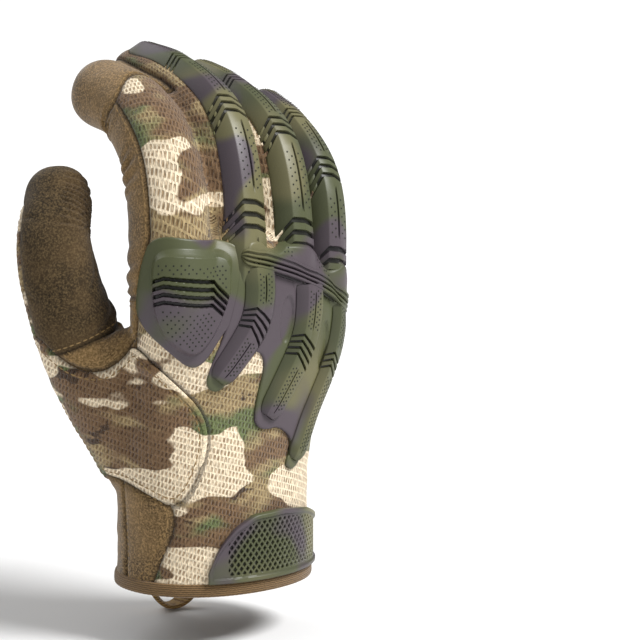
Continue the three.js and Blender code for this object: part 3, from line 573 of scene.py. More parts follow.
# joint, reach along the digit, height: creases across the palm side of a bent digit
FINGER_FOLDS = [(0.15, 7, 0.7), (1.02, 7, 1.0), (1.95, 5, 0.8)]
THUMB_FOLDS = [(0.35, 9, 0.45), (1.15, 8, 0.4)]
FOLD_PITCH, THUMB_RIB_PITCH = 5.2, 3.6


def folds(points, places):
    """Creases and slack of the worn cloth, in millimetres in or out."""
    x, y, z = points.T
    height = 0.38 * noise(points, 15, 1) + 0.2 * noise(points, 6.5, 2)
    height += 0.3 * noise(points * (1, 1, 2.4), 9, 5) * smoothstep((50 - z) / 30)
    ripple = 1.9 * noise(points, 8, 3)
    for name, place in places.items():
        joint, bone, side, up = place["joint"], place["bone"], place["side"], place["back"] / place["d"]
        near_digit = place["rho"] < 1.35
        palm_side = smoothstep((0.35 - up) / 0.9)
        run = joint * bone
        for fold, reach, tall in THUMB_FOLDS if name == "thumb" else FINGER_FOLDS:
            near = bell((joint - fold) * bone, reach)
            wave = np.cos((run - fold * bone + 0.35 * side) * 2 * np.pi / FOLD_PITCH + ripple)
            height += tall * near * palm_side * near_digit * wave
        if name == "thumb":
            crossing = within(joint, 1.3, 0.4, 2.75, 0.3) * near_digit
            bend = (run * 0.72 + 0.8 * side) * np.pi / 6.5 + 2.2 * noise(points, 12, 8)
            crease = bell(np.sin(bend), 0.28)
            height -= crossing * 0.55 * crease * smoothstep(noise(points, 14, 12) + 0.7)
            ribs = within(joint, 2.0, 0.2, 3.35, 0.2) * near_digit * smoothstep((-up - 0.1) / 0.3)
            height += 0.45 * ribs * np.cos(run * 2 * np.pi / THUMB_RIB_PITCH)
            pinch = np.exp(-((joint - 3.25) * bone / 5) ** 2 - ((side + 1.5) / 2.2) ** 2)
            height -= 1.6 * pinch * near_digit
        if name == "index":
            outer = smoothstep(up) * near_digit * bell(joint - 1.05, 0.35)
            height += 0.3 * outer * np.cos(run * 2 * np.pi / 6 + 1.5 * noise(points, 9, 4))
    web = np.exp(-(((x + 38) / 16) ** 2 + ((z - 84) / 20) ** 2 + ((y - 14) / 18) ** 2))
    height += 0.8 * web * np.sin((z * 0.8 - x * 0.75) * 2 * np.pi / 9 + 2.2 * noise(points, 14, 6))
    guarded = np.maximum(smoothstep(-prism_field(points, GUARD_FLANGE, BACK_VIEW, 2) / 2),
                         smoothstep(-prism_field(points, INDEX_FLANGE, THUMB_VIEW, 12) / 2))
    return height * (1 - guarded) - 0.25 * guarded


def panel_fields(points, places):
    """For each panel, in the order they are laid over each other, a distance that is negative inside it."""
    x, y, z = points.T
    heights, thumb_side, little_side = np.array(BACK_EDGE, float).T
    low, high = np.interp(z, heights, thumb_side), np.interp(z, heights, little_side)
    back = np.maximum(y - (low + (high - low) * (x + 75) / 150), z - 133)
    back = np.maximum(back, -prism_field(points, WRIST_SEAM, BACK_VIEW, -14))
    for name in FINGERS:
        back = np.minimum(back, slab_field(places[name], 0, 3.8, -1.3, 1.3, 0.32, 1.4))
    index, thumb_place = places["index"], places["thumb"]
    arc = np.where(index["back"] > 0, 2.24 - 0.3 * (index["side"] / index["w"]) ** 2, 1.94)
    cap = np.maximum(slab_field(index, 1.5, 4.6, -1.5, 1.5, -1.5, 1.5),
                     (arc - index["joint"]) * index["bone"])
    strip = slab_field(thumb_place, -0.2, 2.7, -0.45, 0.45, 0.4, 1.4)
    between = np.full(len(points), 1e3)
    for name, sides in (("index", (1,)), ("middle", (-1, 1)), ("ring", (-1, 1)), ("little", (-1,))):
        for side in sides:
            edges = (0.3, 1.5) if side > 0 else (-1.5, -0.3)
            high = 1.4 if name == "index" else 0.32
            between = np.minimum(between, slab_field(places[name], 0.22, 2.75, *edges, -0.5, high))
    return {
        "index_cap": cap,
        "thumb_knit": np.minimum(strip, prism_field(points, THUMB_GUSSET, THUMB_VIEW, 7)),
        "back_knit": back,
        "thumb_suede": slab_field(thumb_place, 1.02, 4.6, -1.5, 1.5, -1.5, 1.5),
        "thumb_saddle": prism_field(points, SADDLE, THUMB_VIEW, 5),
        "wrist_suede": prism_field(points, WRIST_PANEL, BACK_VIEW, -12),
        "finger_sides": between,
    }


SHELL = {}
# The label of faces that hang below the hem and are dropped
BELOW_HEM = 99


def shell():
    """Cuts the skin into its panels, sinks the seams between them, and keeps what later pieces need."""
    s = skin()
    points, faces = s["points"], s["faces"]
    places = digit_places(points)
    fields = panel_fields(points, places)
    columns = [points, s["normals"], weave_places(points, places), folds(points, places)[:, None]]
    first = sum(c.shape[1] for c in columns)
    data = np.column_stack([*columns, points[:, 2] - SHELL_BOTTOM, *fields.values()])
    label = np.zeros(len(faces), int)
    data, faces, label = cut(data, faces, label, first, BELOW_HEM)
    for i, name in enumerate(fields):
        data, faces, label = cut(data, faces, label, first + 1 + i, i + 1)
    label[label == 0] = len(fields) + 1
    names = [*fields, "palm_suede"]
    seams = []
    for i in range(len(names)):
        rim = np.unique(border_edges(faces[label == i + 1]))
        seams.append(data[rim[data[rim, 2] > SHELL_BOTTOM + 0.2], :3])
    seams = np.concatenate(seams)
    tree = nearest(seams)
    gap = np.array([tree.find(Vector(p))[2] for p in data[:, :3]])
    rise = data[:, 8] * smoothstep(gap / 2.5) - 0.8 * bell(gap, 0.85) + 0.25 * smoothstep(gap / 4)
    SHELL.update(data=data, faces=faces, label=label, names=names, rise=rise, gap=gap,
                 fields={name: first + 1 + i for i, name in enumerate(fields)})
    return SHELL


def panel(name, material, slot, nodes):
    """One panel of the shell as a closed sheet of cloth, its surface sunk along its seams, with painted shade
    along its seams and in its creases.
    """
    s = SHELL or shell()
    d, faces, used = compact(s["data"], s["faces"][s["label"] == s["names"].index(name) + 1])
    place, normal, weave, fold, gap = d[:, :3], d[:, 3:6], d[:, 6:8], d[:, 8], s["gap"][used]
    rise = s["rise"][used][:, None]
    # Painted shade: darker along the seams and in the valleys of the folds, where shade falls
    tone = 1 - 0.8 * bell(gap, 0.6) - 0.25 * bell(gap, 1.6)
    tone = np.clip(tone - 0.55 * np.clip(-fold - 0.3, 0, 1), 0.1, 1)
    sheet = closed(place + normal * rise, place + normal * (rise - FABRIC), faces)
    return piece(name + "_cloth", *sheet, material, slot, nodes,
                 uv=np.concatenate([weave] * 2), tone=np.concatenate([tone] * 2))


# Outlines of the guards and patches, across then up in their own view, as the part's source has them
INDEX_FLANGE = [(-27.3, 132.8), (-10.9, 130.5), (4.3, 128), (4.1, 119), (3.4, 108.3), (0.6, 100.5), (-3, 97),
                (-9.1, 87),
                (-14.5, 84.1), (-21.7, 90.6), (-32.1, 100.9), (-33.4, 108.6), (-31.2, 122.4)]
INDEX_RAISED = [(-26.2, 128), (-12.7, 127.4), (0.4, 125.3), (-0.3, 117.3), (-0.5, 109.1), (-7.3, 93.6),
                (-14.9, 87.3), (-26, 98.1),
                (-27.8, 116.7)]
GUARD_FLANGE = [(-9, 130.5), (-11.5, 121), (-14.5, 111), (-18.5, 98), (-25.3, 83), (-25.5, 77),
                (-21.5, 75), (-17.5, 78), (-7.3, 90.5), (0.5, 86), (-4.2, 71), (-5.2, 62), (-0.5, 59),
                (7, 60), (15, 53), (8.5, 44.5), (15.2, 42), (25, 54), (32.5, 66), (41, 84), (45, 101),
                (46, 116), (41.5, 119.5), (38.1, 117.6), (34.6, 116.6), (32.4, 118.6), (30.5, 122.5),
                (22, 127), (12.4, 127.8), (8.2, 125.2), (4.4, 125), (1.6, 126.8), (-1.3, 130.5)]
# centre line of each strut from the band down, with its half width to the left and right
STRUTS = {
    "middle": [(-3.2, 119, 7, 7), (-3.8, 106, 6.9, 6.7), (-6.6, 98, 6.8, 6.6), (-13.5, 89.5, 6, 6),
               (-22, 79.5, 5, 5)],
    "ring": [(21, 111, 7.2, 7.2), (20, 97, 6.8, 6.6), (16, 86.5, 6.8, 6.6), (8, 75, 6, 6), (0, 64, 5, 5)],
    "little": [(40, 103, 5.2, 4.6), (37.4, 90, 4.8, 4.4), (33.5, 79, 4.8, 4.6), (24, 62.5, 4.8, 4.6),
               (13.5, 46.5, 4, 4)],
}
STRUT_GROOVES = {"middle": (14.5, 4), "ring": (18.5, 4), "little": (19, 3)}
BAND_LINE = [(-10.6, 123.6), (3.5, 120), (18.4, 115), (33.8, 108), (45.5, 100.5)]
BAND_HALF = 3.3
OVERLAY = [(-50, 104), (-33, 101), (-16, 104), (-7, 106), (0, 106), (9.5, 99.5), (22.5, 97.5), (31, 98),
           (32, 118),
           (16, 124), (-2, 124), (-14, 121), (-24, 118), (-34, 124), (-50, 126)]
HEEL_PAD = [(-19, 70), (-15, 75.5), (-9, 78), (6, 78.5), (20, 75), (26.5, 69), (27.5, 54), (24, 37.5),
            (15, 32), (1, 31),
            (-14, 34.5), (-19, 51)]
THENAR_PAD = [(29, 68), (33, 81), (39.5, 87), (46, 80), (48, 67), (46, 57), (42, 48), (37, 41), (31.5, 38),
              (30, 54)]
GROOVE_PITCH, GROOVE_WIDTH, GROOVE_DEPTH, GROOVE_SHADE = 2.6, 1.25, 1.15, 0.93
STRAP = [(-42, 5, 9), (-36, 5, 18), (-26, 5, 25), (-12, 5, 29.5), (12, 5, 30), (38, 5, 28), (60, 5, 23),
         (80, 5, 17.5),
         (100, 5, 15.5), (125, 5, 17.5), (150, 5, 19.5), (180, 5, 21), (205, 5.5, 22), (222, 7, 22)]
# The strap's chevron ribs, from one turn to another and how many, and the turns between which it is pierced
STRAP_RIBS = (96, 128, 8)
STRAP_PIERCED = ((-30, 68), (138, 210))
SLIT_LEGS = [[(19, 20.3), (10.8, 28.5), (6, 40.2)], [(-5, 20.3), (0.8, 28.5), (6, 40.2)]]
LOOP = dict(turn=170, spread=20, drop=22, width=8, thick=1.4, top=3.6, away=1.6)


class Relief:
    """The skin as seen from one azimuth: depth towards the eye on a fine grid, smoothed, with its normals."""

    def __init__(self, azimuth, across, up, step=0.6, times=5):
        self.right, self.toward = axes_of(azimuth)
        self.u = np.arange(across[0], across[1] + step, step)
        self.v = np.arange(up[0], up[1] + step, step)
        bvh = skin()["bvh"]
        depth = np.full((len(self.v), len(self.u)), np.nan)
        look = Vector(-self.toward)
        for i, v in enumerate(self.v):
            for k, u in enumerate(self.u):
                start = self.right * u + self.toward * 150
                hit = bvh.ray_cast(Vector((start[0], start[1], v)), look)[0]
                if hit is not None:
                    depth[i, k] = float(np.dot(hit, self.toward))
        while np.isnan(depth).any():
            pad = np.pad(depth, 1, constant_values=np.nan)
            around = np.stack([pad[1:-1, :-2], pad[1:-1, 2:], pad[:-2, 1:-1], pad[2:, 1:-1]])
            known = ~np.isnan(around)
            filled = np.where(known, around, 0).sum(0) / np.maximum(known.sum(0), 1)
            depth = np.where(np.isnan(depth) & known.any(0), filled - 0.8, depth)
        for _ in range(times):
            pad = np.pad(depth, 1, mode="edge")
            depth = (pad[1:-1, :-2] + pad[1:-1, 2:] + pad[:-2, 1:-1] + pad[2:, 1:-1] + 4 * depth) / 8
        self.depth, self.step = depth, step
        self.slope_v, self.slope_u = np.gradient(depth, step)

    def read(self, grid, u, v):
        a = np.clip((u - self.u[0]) / self.step, 0, len(self.u) - 1.001)
        b = np.clip((v - self.v[0]) / self.step, 0, len(self.v) - 1.001)
        i, k = b.astype(int), a.astype(int)
        s, t = b - i, a - k
        low, high = (grid[j, k] * (1 - t) + grid[j, k + 1] * t for j in (i, i + 1))
        return low * (1 - s) + high * s

    def at(self, u, v):
        """Points on the skin and their normals for flat places."""
        u, v = np.asarray(u, float), np.asarray(v, float)
        depth = self.read(self.depth, u, v)
        points = u[..., None] * self.right + v[...,
                                               None] * np.array([0, 0, 1]) + depth[..., None] * self.toward
        tilt_u, tilt_v = self.read(self.slope_u, u, v), self.read(self.slope_v, u, v)
        tilt_u, tilt_v = np.clip(tilt_u, -2.5, 2.5), np.clip(tilt_v, -2.5, 2.5)
        return points, unit(self.toward - tilt_u[..., None] * self.right
                            - tilt_v[..., None] * np.array([0, 0, 1]))


def flat_patch(outline, step):
    """Flat places and triangles over an outline, cut clean along it, with the distance in from its edge."""
    low, high = outline.min(0) - step, outline.max(0) + step
    us, vs = np.arange(low[0], high[0] + step, step), np.arange(low[1], high[1] + step, step)
    grid = np.stack(np.meshgrid(us, vs), -1).reshape(-1, 2)
    n = len(us)
    a = (np.arange(len(vs) - 1)[:, None] * n + np.arange(n - 1)).ravel()
    faces = np.concatenate([np.stack([a, a + 1, a + n + 1], 1), np.stack([a, a + n + 1, a + n], 1)])
    data = np.column_stack([grid, inside_of(grid, outline)])
    label = np.zeros(len(faces), int)
    data, faces, label = cut(data, faces, label, 2, 1)
    data, faces, _ = compact(data, faces[label == 1])
    return data[:, :2], faces, np.maximum(-data[:, 2], 0)


def dome(inward, reach):
    """A round shoulder that rises from 0 at an edge to 1."""
    t = 1 - np.clip(inward / reach, 0, 1)
    return np.sqrt(np.maximum(1 - t * t, 0))


def laid(relief, outline, step, height, tone=None):
    """A closed piece lying on the skin, its thickness a function of flat place and inward distance."""
    flat, faces, inward = flat_patch(outline, step)
    base, normal = relief.at(flat[:, 0], flat[:, 1])
    rise = height(flat, inward)
    # tone gives painted shade for each point, darker in grooves and along sewn lines
    painted_shade = np.ones(len(flat)) if tone is None else tone(flat, inward)
    return (*closed(base + normal * rise[:, None], base + normal * SUNK, faces), np.concatenate([painted_shade] * 2))


def run_of(points):
    """The distance along a polyline at each of its points."""
    return np.concatenate([[0], np.cumsum(np.linalg.norm(np.diff(points, axis=0), axis=1))])


def read_at(places, run, rows):
    """Each column of rows read at places along a run."""
    return np.stack([np.interp(places, run, rows[:, i]) for i in range(rows.shape[1])], 1)


def eased(points, times):
    """A polyline with its kinks smoothed out and its ends kept."""
    for _ in range(times):
        points = np.concatenate([points[:1], (points[:-2] + 2 * points[1:-1] + points[2:]) / 4, points[-1:]])
    return points


def path_points(rows, count):
    """A smooth path through a few rows of numbers, evenly spaced, by rounding its corners."""
    rows = np.array(rows, float)
    for _ in range(3):
        cuts = np.stack([rows[:-1] * 0.75 + rows[1:] * 0.25, rows[:-1] * 0.25 + rows[1:] * 0.75],
                        1).reshape(-1, rows.shape[1])
        rows = np.concatenate([rows[:1], cuts, rows[-1:]])
    run = run_of(rows[:, :2])
    even = np.linspace(0, run[-1], count)
    return read_at(even, run, rows), even


def groove_stops(length, groups, step):
    """Places along a bar with the depth of its grooves and how far its chevrons bend: (run, dip, bend)."""
    stops = []
    for top, count in groups:
        for i in range(count):
            middle = top + i * GROOVE_PITCH
            w = GROOVE_WIDTH / 2
            stops += [(middle - w, 0, 1), (middle - w + 0.22, 1, 1), (middle + w - 0.22, 1, 1),
                      (middle + w, 0, 1)]
    for run in np.arange(0, length + 1e-6, step):
        bend = 0.0
        for top, count in groups:
            low, high = top - GROOVE_WIDTH, top + (count - 1) * GROOVE_PITCH + GROOVE_WIDTH
            if low <= run <= high:
                bend = -1.0
                break
            bend = max(bend, 1 - max(low - run, run - high) / 7)
        if bend >= 0:
            stops.append((run, 0, float(smoothstep(bend))))
    return sorted(stops)


# across as a share of the half width, height as a share of the bar's, and painted shade, dark on the left
# side that faces from the light, in the slit and at the right foot: the left foot and slope, the flat top
# with its slit, and the right side
BAR_PROFILE = [(-1, 0, 0.4), (-1, 0.24, 0.55), (-0.95, 0.36, 0.62), (-0.42, 0.94, 0.72), (-0.35, 1, 1),
               (0.1, 1.01, 1), (0.12, 0.8, 0.1), (0.18, 0.8, 0.1), (0.2, 1.01,
                                                                    1), (0.66, 1, 1), (0.74, 0.94, 1),
               (0.93, 0.5, 0.75), (1, 0.36, 0.35), (1, 0, 0.3)]
STRAND_DROP = [0, 4.6, 4.3, 0.3, 0, 0, 0, 0, 0, 0.5, 1.1, 2.8, 3.2, 0]
STRUT_DROP = [0, 2.2, 2, 0.2, 0, 1.5, 1.55, 1.7, 1.75, 3.2, 3.5, 4.1, 4.3, 0]
DOT_SHARES = (-0.22, -0.02, 0.34, 0.52)
DOT_PITCH = 1.75


def bar(place, stops, height, drops, taper, slit):
    """A moulded bar: rings across it, each point placed by a function of its run, share across and height."""
    rings, tones = [], []
    for run, dip, bend in stops:
        size = taper(run)
        row = []
        for i, (share, tall, tone) in enumerate(BAR_PROFILE):
            lift = tall * height * size[1]
            if tall == 0.8:
                open_slit = slit(run)
                lift = height * size[1] * (1 - 0.2 * open_slit)
                # painted shade in the open slit
                tone = 1 - 0.9 * open_slit
            if tall:
                lift = max(lift - dip * GROOVE_DEPTH * (1 if tall > 0.6 else 0.6), 0.2)
            row.append(place(run + drops[i] * bend, share * size[0], BAR_FOOT + lift))
            # painted shade, deepest in the chevron grooves
            tones.append(tone * (1 - GROOVE_SHADE * dip) if tall else tone)
        rings.append(row)
    points, faces = outward(*loft(rings))
    return points, faces, np.array(tones)


def bar_dots(place, length, groups, height, taper):
    """Perforations over the flat top of a bar, clear of its chevrons: points, directions along and out."""
    dots = []
    for k, run in enumerate(np.arange(2.5, length - 1, DOT_PITCH / 2)):
        if any(top - 2.2 < run < top + (count - 1) * GROOVE_PITCH + 4.5 for top, count in groups):
            continue
        size = taper(run)
        for share in DOT_SHARES[k % 2::2]:
            top = BAR_FOOT + height * size[1] + DOT_PROUD
            at = place(run, share * size[0], top)
            ahead = place(run + 0.3, share * size[0], top)
            above = place(run, share * size[0], BAR_FOOT + height + 1)
            dots.append((at, unit(ahead - at), unit(above - at)))
    return dots


def slit_between(groups, length, short=0.0):
    """1 where the centre slit of a bar is open: between its chevrons, closed near their ends."""
    def slit(run):
        ends = [0.0, length] + [x for top, count in groups
                                for x in (top - 1.2, top + (count - 1) * GROOVE_PITCH + 1.4)]
        near = min(abs(run - x) for x in ends)
        inside = any(top - 1.2 <= run <= top + (count - 1) * GROOVE_PITCH + 1.4 for top, count in groups)
        return 0.0 if inside else float(smoothstep((near - 1.2 - short) / 0.5))
    return slit


# Places of the perforations, gathered while the guards are built
DOTS = []


def strut(relief, rows, groups, height=2.6):
    path, even = path_points(rows, 240)
    length = even[-1]
    tangent = unit(np.gradient(path[:, :2], axis=0))

    def place(run, share, lift):
        run = min(max(run, 0), length)
        u, v, left, right = (np.interp(run, even, path[:, i]) for i in range(4))
        t = np.array([np.interp(run, even, tangent[:, 0]), np.interp(run, even, tangent[:, 1])])
        across = np.array([-t[1], t[0]]) / np.linalg.norm(t)
        if across[0] < 0:
            across = -across
        half = left if share < 0 else right
        flat = np.array([u, v]) + across * share * half
        point, normal = relief.at(flat[:1], flat[1:])
        return point[0] + normal[0] * (lift + 1.1)

    def taper(run):
        end = 1 - min((length - run) / 5.5, 1)
        shape = math.sqrt(max(1 - end ** 2, 0.02))
        return (0.35 + 0.65 * shape, 0.3 + 0.7 * shape)

    DOTS.extend(bar_dots(place, length - 3, groups, height, taper))
    return bar(place, groove_stops(length, groups, 0.9), height, STRUT_DROP, taper,
               slit_between(groups, length, 1.5))


STRAND_CHEVRONS = (2.1, 1.2, 0.45)
STRAND_FROM, STRAND_TO = -0.16, 3.12


def strand(digit):
    """The bar along a finger's back with its three groups of chevrons, from the tip down."""
    bone = digit.bone
    length = (STRAND_TO - STRAND_FROM) * bone

    def place(run, share, lift):
        joint = STRAND_TO - run / bone
        w, d = digit.halves(min(joint, 3))
        root = smoothstep((0.5 - joint) / 0.6)
        share *= (0.68 if share < 0 else 0.86) + 0.2 * root
        side = share * w
        fall = min(abs(share), 0.995) ** 2.2
        back = d * (1 - fall) ** (1 / 2.2)
        inside = min(joint, 3)
        beyond = max(joint - 3, 0) * bone
        if beyond:
            back -= beyond * 0.35
        centre, along, sideways, up = digit.frame(inside)
        out = unit(sideways * side / w ** 2 * abs(share) ** 0.2 + up * max(back, 0.1) / d ** 2)
        mix = unit(out * 0.45 + up * 0.55)
        return centre + sideways * side + up * back + along * beyond + mix * lift

    def taper(run):
        end = 1 - min(run / 7, 1)
        shape = math.sqrt(max(1 - end ** 2, 0.03))
        return (0.45 + 0.55 * shape, 0.3 + 0.7 * shape)

    groups = [((STRAND_TO - at) * bone, 3) for at in STRAND_CHEVRONS]
    DOTS.extend(bar_dots(place, length - 3, groups, 3.2, taper))
    return bar(place, groove_stops(length, groups, 1.0), 3.2, STRAND_DROP, taper,
               slit_between(groups, length))


def skirt(digit, seed):
    """A thin flange under a strand, scalloped on its sides."""
    rings = []
    for joint in np.linspace(-0.1, 2.98, 150):
        w, d = digit.halves(min(joint, 3))
        end = smoothstep((2.98 - joint) / 0.25)
        lobe = 0.5 + 0.5 * math.sin(joint * 2 * math.pi / 0.55 + seed)
        reach = math.radians(52 + 13 * smoothstep(lobe * 1.6 - 0.3)) * (0.35 + 0.65 * end)
        points = []
        angles = np.linspace(-reach * 0.72, reach, 17)
        for k, a in enumerate(angles):
            lift = 0.25 + 0.95 * min((1 - abs(k - 8) / 8) * 5, 1)
            points.append(digit.at(joint, (w + lift) * math.sin(a), (d + lift) * math.cos(a)))
        for a in angles[::-1][::4]:
            points.append(digit.at(joint, (w - 0.4) * math.sin(a), (d - 0.4) * math.cos(a)))
        rings.append(points)
    return loft(rings)


def joined(parts):
    """Several meshes as one, with their painted shade values."""
    points, faces, tones, start = [], [], [], 0
    for p, f, *tone in parts:
        points.append(np.asarray(p))
        faces += [[int(i) + start for i in face] for face in f]
        tones.append(tone[0] if tone else np.ones(len(p)))
        start += len(p)
    return np.concatenate(points), faces, np.concatenate(tones)


def cuff_point(turn, height, offset):
    angle = math.radians(turn - 90)
    out = np.array([math.cos(angle), math.sin(angle), 0])
    half_x, half_y = 0.99 * CUFF_WIDTH / 2 + offset, CUFF_DEPTH / 2 + offset
    reach = (abs(out[0] / half_x) ** 2.1 + abs(out[1] / half_y) ** 2.1) ** (-1 / 2.1)
    return np.array([-0.03 * CUFF_WIDTH, 0.12 * CUFF_DEPTH, height]) + out * reach, out


def strap():
    """The moulded strap: raised rim, pierced panels and chevron ribs, as one grid bent round the cuff."""
    rows = np.array(STRAP, float)
    turns = np.linspace(rows[0, 0], rows[-1, 0], 560)
    levels = np.linspace(0, 1, 84)
    low, high = np.interp(turns, rows[:, 0], rows[:, 1]), np.interp(turns, rows[:, 0], rows[:, 2])
    for _ in range(40):
        high[1:-1] = (high[:-2] + high[2:] + 2 * high[1:-1]) / 4
        low[1:-1] = (low[:-2] + low[2:] + 2 * low[1:-1]) / 4
    run = run_of(np.array([cuff_point(turn, 0, 2)[0] for turn in turns]))
    span = (high - low)[:, None]
    up = levels[None, :] * span
    inward = np.minimum(np.minimum(up, span - up), np.minimum(run[:, None], (run[-1] - run)[:, None]))
    rim = smoothstep((inward - 1.5) / 0.7)
    rise = 2.5 * dome(inward + 0.25, 0.8) - 0.75 * rim
    u, v = run[:, None] / 2.5 + 0 * up, up / 3.3
    cell_u, cell_v = np.abs((u + v) % 1 - 0.5), np.abs((u - v) % 1 - 0.5)
    pit = smoothstep((0.34 - np.maximum(cell_u, cell_v)) / 0.12) * smoothstep((inward - 2.6) / 0.5)
    turn = turns[:, None] + 0 * up
    panels = np.any([(turn > first) & (turn < last) for first, last in STRAP_PIERCED], axis=0)
    rise = rise - 0.8 * pit * panels
    ribs = (turn > STRAP_RIBS[0]) & (turn < STRAP_RIBS[1])
    chevron = 3.2 * (0.5 - np.abs(levels[None, :] - 0.5)) * 2
    bent = (turn - STRAP_RIBS[0] - chevron) / (STRAP_RIBS[1] - STRAP_RIBS[0]) * STRAP_RIBS[2]
    wave = np.abs(bent % 1 - 0.5) * 2
    ribs = ribs * smoothstep((inward - 1.2) / 0.8)
    rise = rise + ribs * (0.8 * smoothstep((wave - 0.35) / 0.25) - 0.35)
    tops, bottoms = [], []
    for i, t in enumerate(turns):
        base, out = cuff_point(t, 0, 0)
        z = low[i] + up[i]
        tops.append(base + np.outer(rise[i] + 0.5, out) + np.outer(z, [0, 0, 1]))
        bottoms.append(base + 0.35 * out + np.outer(z, [0, 0, 1]))
    n = len(levels)
    a = (np.arange(len(turns) - 1)[:, None] * n + np.arange(n - 1)).ravel()
    faces = np.concatenate([np.stack([a, a + n, a + n + 1], 1), np.stack([a, a + n + 1, a + 1], 1)])
    # Painted shade: darker in the pits of the pierced panels, at the foot of the rim's wall and in the
    # grooves between the ribs
    wall = bell(inward - 1.9, 0.5)
    grooves = ribs * smoothstep((0.42 - wave) / 0.2)
    painted_shade = np.clip(1 - 0.85 * pit * panels - 0.3 * wall - 0.85 * grooves, 0.05, 1)
    return (*closed(np.concatenate(tops), np.concatenate(bottoms), faces),
            np.concatenate([painted_shade.ravel()] * 2))


def hem():
    """The bound hem: woven tape folded over the edge, its section rounded."""
    section = [(1.35, 0.35), (1.55, 0.9), (1.6, 2.2), (1.5, 3.6), (1.2, 4.6), (0.6, 5.0), (-0.2, 4.9),
               (-1.9, 4.8),
               (-2.5, 4.2), (-2.6, 2.2), (-2.4, 0.6), (-1.6, 0.05), (0.4, 0.0)]
    rings = []
    for turn in np.linspace(0, 360, 241)[:-1]:
        foot, out = cuff_point(turn, 0, 0)
        wavy = 0.12 * math.sin(turn * 2.1)
        rings.append([foot + out * (o + wavy) + np.array([0, 0, z]) for o, z in section[::-1]])
    return loft(rings, closed=True)


def tape(points, outs, width, thick):
    """Flat tape along points, with the direction that its face looks in at each."""
    points, outs = np.array(points), unit(np.array(outs))
    along = unit(np.gradient(points, axis=0))
    across = unit(np.cross(along, outs))
    outs = np.cross(across, along)
    w, t, r = width / 2, thick / 2, TAPE_ROUNDING
    section = [(-w, -t + r), (-w, t - r), (-w + r, t), (0, t + 0.05), (w - r, t), (w, t - r), (w, -t + r),
               (w - r, -t), (-w + r, -t)]
    return loft([[p + a * x + o * y for x, y in section] for p, a, o in zip(points, across, outs)])


def loop():
    points = []
    for i in range(61):
        a = math.pi * i / 60
        turn = LOOP["turn"] - LOOP["spread"] * math.cos(a)
        p, out = cuff_point(turn, LOOP["top"] - LOOP["drop"] * math.sin(a), HEM_PROUD + LOOP["away"])
        across = np.cross([0, 0, 1], out)
        wide = across * math.cos(a) + out * math.sin(a)
        points.append((p, wide))
    p = np.array([x for x, _ in points])
    along = unit(np.gradient(p, axis=0))
    wide = np.array([x for _, x in points])
    wide = unit(wide - along * (wide * along).sum(1, keepdims=True))
    return tape(p, np.cross(along, wide), LOOP["width"], LOOP["thick"])


def outward(points, faces):
    """The same mesh with its faces turned so that it encloses a positive volume."""
    total = 0.0
    for face in faces:
        a = points[face[0]]
        for i in range(1, len(face) - 1):
            total += np.dot(a, np.cross(points[face[i]], points[face[i + 1]]))
    return (points, faces) if total > 0 else (points, [list(face)[::-1] for face in faces])


def band(relief):
    """The cross band over the knuckles: four ridges with deep grooves beside them, and painted shade that is
    darkest in the grooves.
    """
    path, even = path_points([(u, v, 1) for u, v in BAND_LINE], 110)
    tangent = unit(np.gradient(path[:, :2], axis=0))
    # across as a share of the half width, height, and painted shade, darkest in the grooves and at the feet
    section = [(-1.12, 0.1, 0.4), (-1.08, 2.3, 0.3), (-1.0, 2.4, 0.08)]
    ridge = [(-0.17, 2.4, 0.08), (-0.15, 3.75, 0.9), (-0.08, 4.05, 1), (0.08, 4.05, 1), (0.15, 3.75, 0.9),
             (0.17, 2.4, 0.08)]
    for middle in (-0.75, -0.25, 0.25, 0.75):
        section += [(middle + across, tall, tone) for across, tall, tone in ridge]
    section += [(1.0, 2.4, 0.08), (1.08, 2.3, 0.3), (1.12, 0.1, 0.4)]
    rings, tones = [], []
    for i, (u, v, _) in enumerate(path):
        end = min(even[i], even[-1] - even[i]) / 2.2
        size = math.sqrt(max(1 - (1 - min(end, 1)) ** 2, 0.05))
        across = np.array([-tangent[i][1], tangent[i][0]])
        flat = np.array([[u, v] + across * share * BAND_HALF * size for share, _, _ in section])
        base, normal = relief.at(flat[:, 0], flat[:, 1])
        tall = np.array([h * (0.45 + 0.55 * size) for _, h, _ in section])
        rings.append(base + normal * tall[:, None])
        tones += [tone for _, _, tone in section]
    return (*outward(*loft(rings)), np.array(tones))


INDEX_FIRST_GROOVE = 117.2


def index_line(flat):
    """Height over the index pad, bent as its chevrons are, so that each lies at one value."""
    u, v = flat[:, 0], flat[:, 1]
    return v + 0.13 * (u + 22.9) + 0.5 * np.maximum(-22.9 - u, 0) + 0.85 * np.maximum(u + 8, 0)


def index_grooves(flat):
    """How deep in a chevron each flat place of the index pad lies, from 0 to 1."""
    line = index_line(flat)
    cut_depth = np.zeros(len(flat))
    for i in range(4):
        away = np.abs(line - (INDEX_FIRST_GROOVE - GROOVE_PITCH * i))
        cut_depth = np.maximum(cut_depth, smoothstep((GROOVE_WIDTH / 2 + 0.12 - away) / 0.24))
    raised = -inside_of(flat, rounded(INDEX_RAISED, 3))
    return cut_depth * smoothstep((raised - 0.5) / 0.4)


def index_height(flat, inward):
    v = flat[:, 1] + 0.13 * (flat[:, 0] + 14)
    raised = -inside_of(flat, rounded(INDEX_RAISED, 3))
    bevel = 1.5 + 2.2 * smoothstep((v - 120.5) / 5)
    return 1.3 * dome(inward + 0.3, 1.0) + 2.2 * np.clip(raised / bevel, 0, 1) - 1.6 * index_grooves(flat)


def above_band(flat):
    """How far each flat place of the back lies above the middle of the cross band."""
    return flat[:, 1] - np.interp(flat[:, 0], *zip(*BAND_LINE))


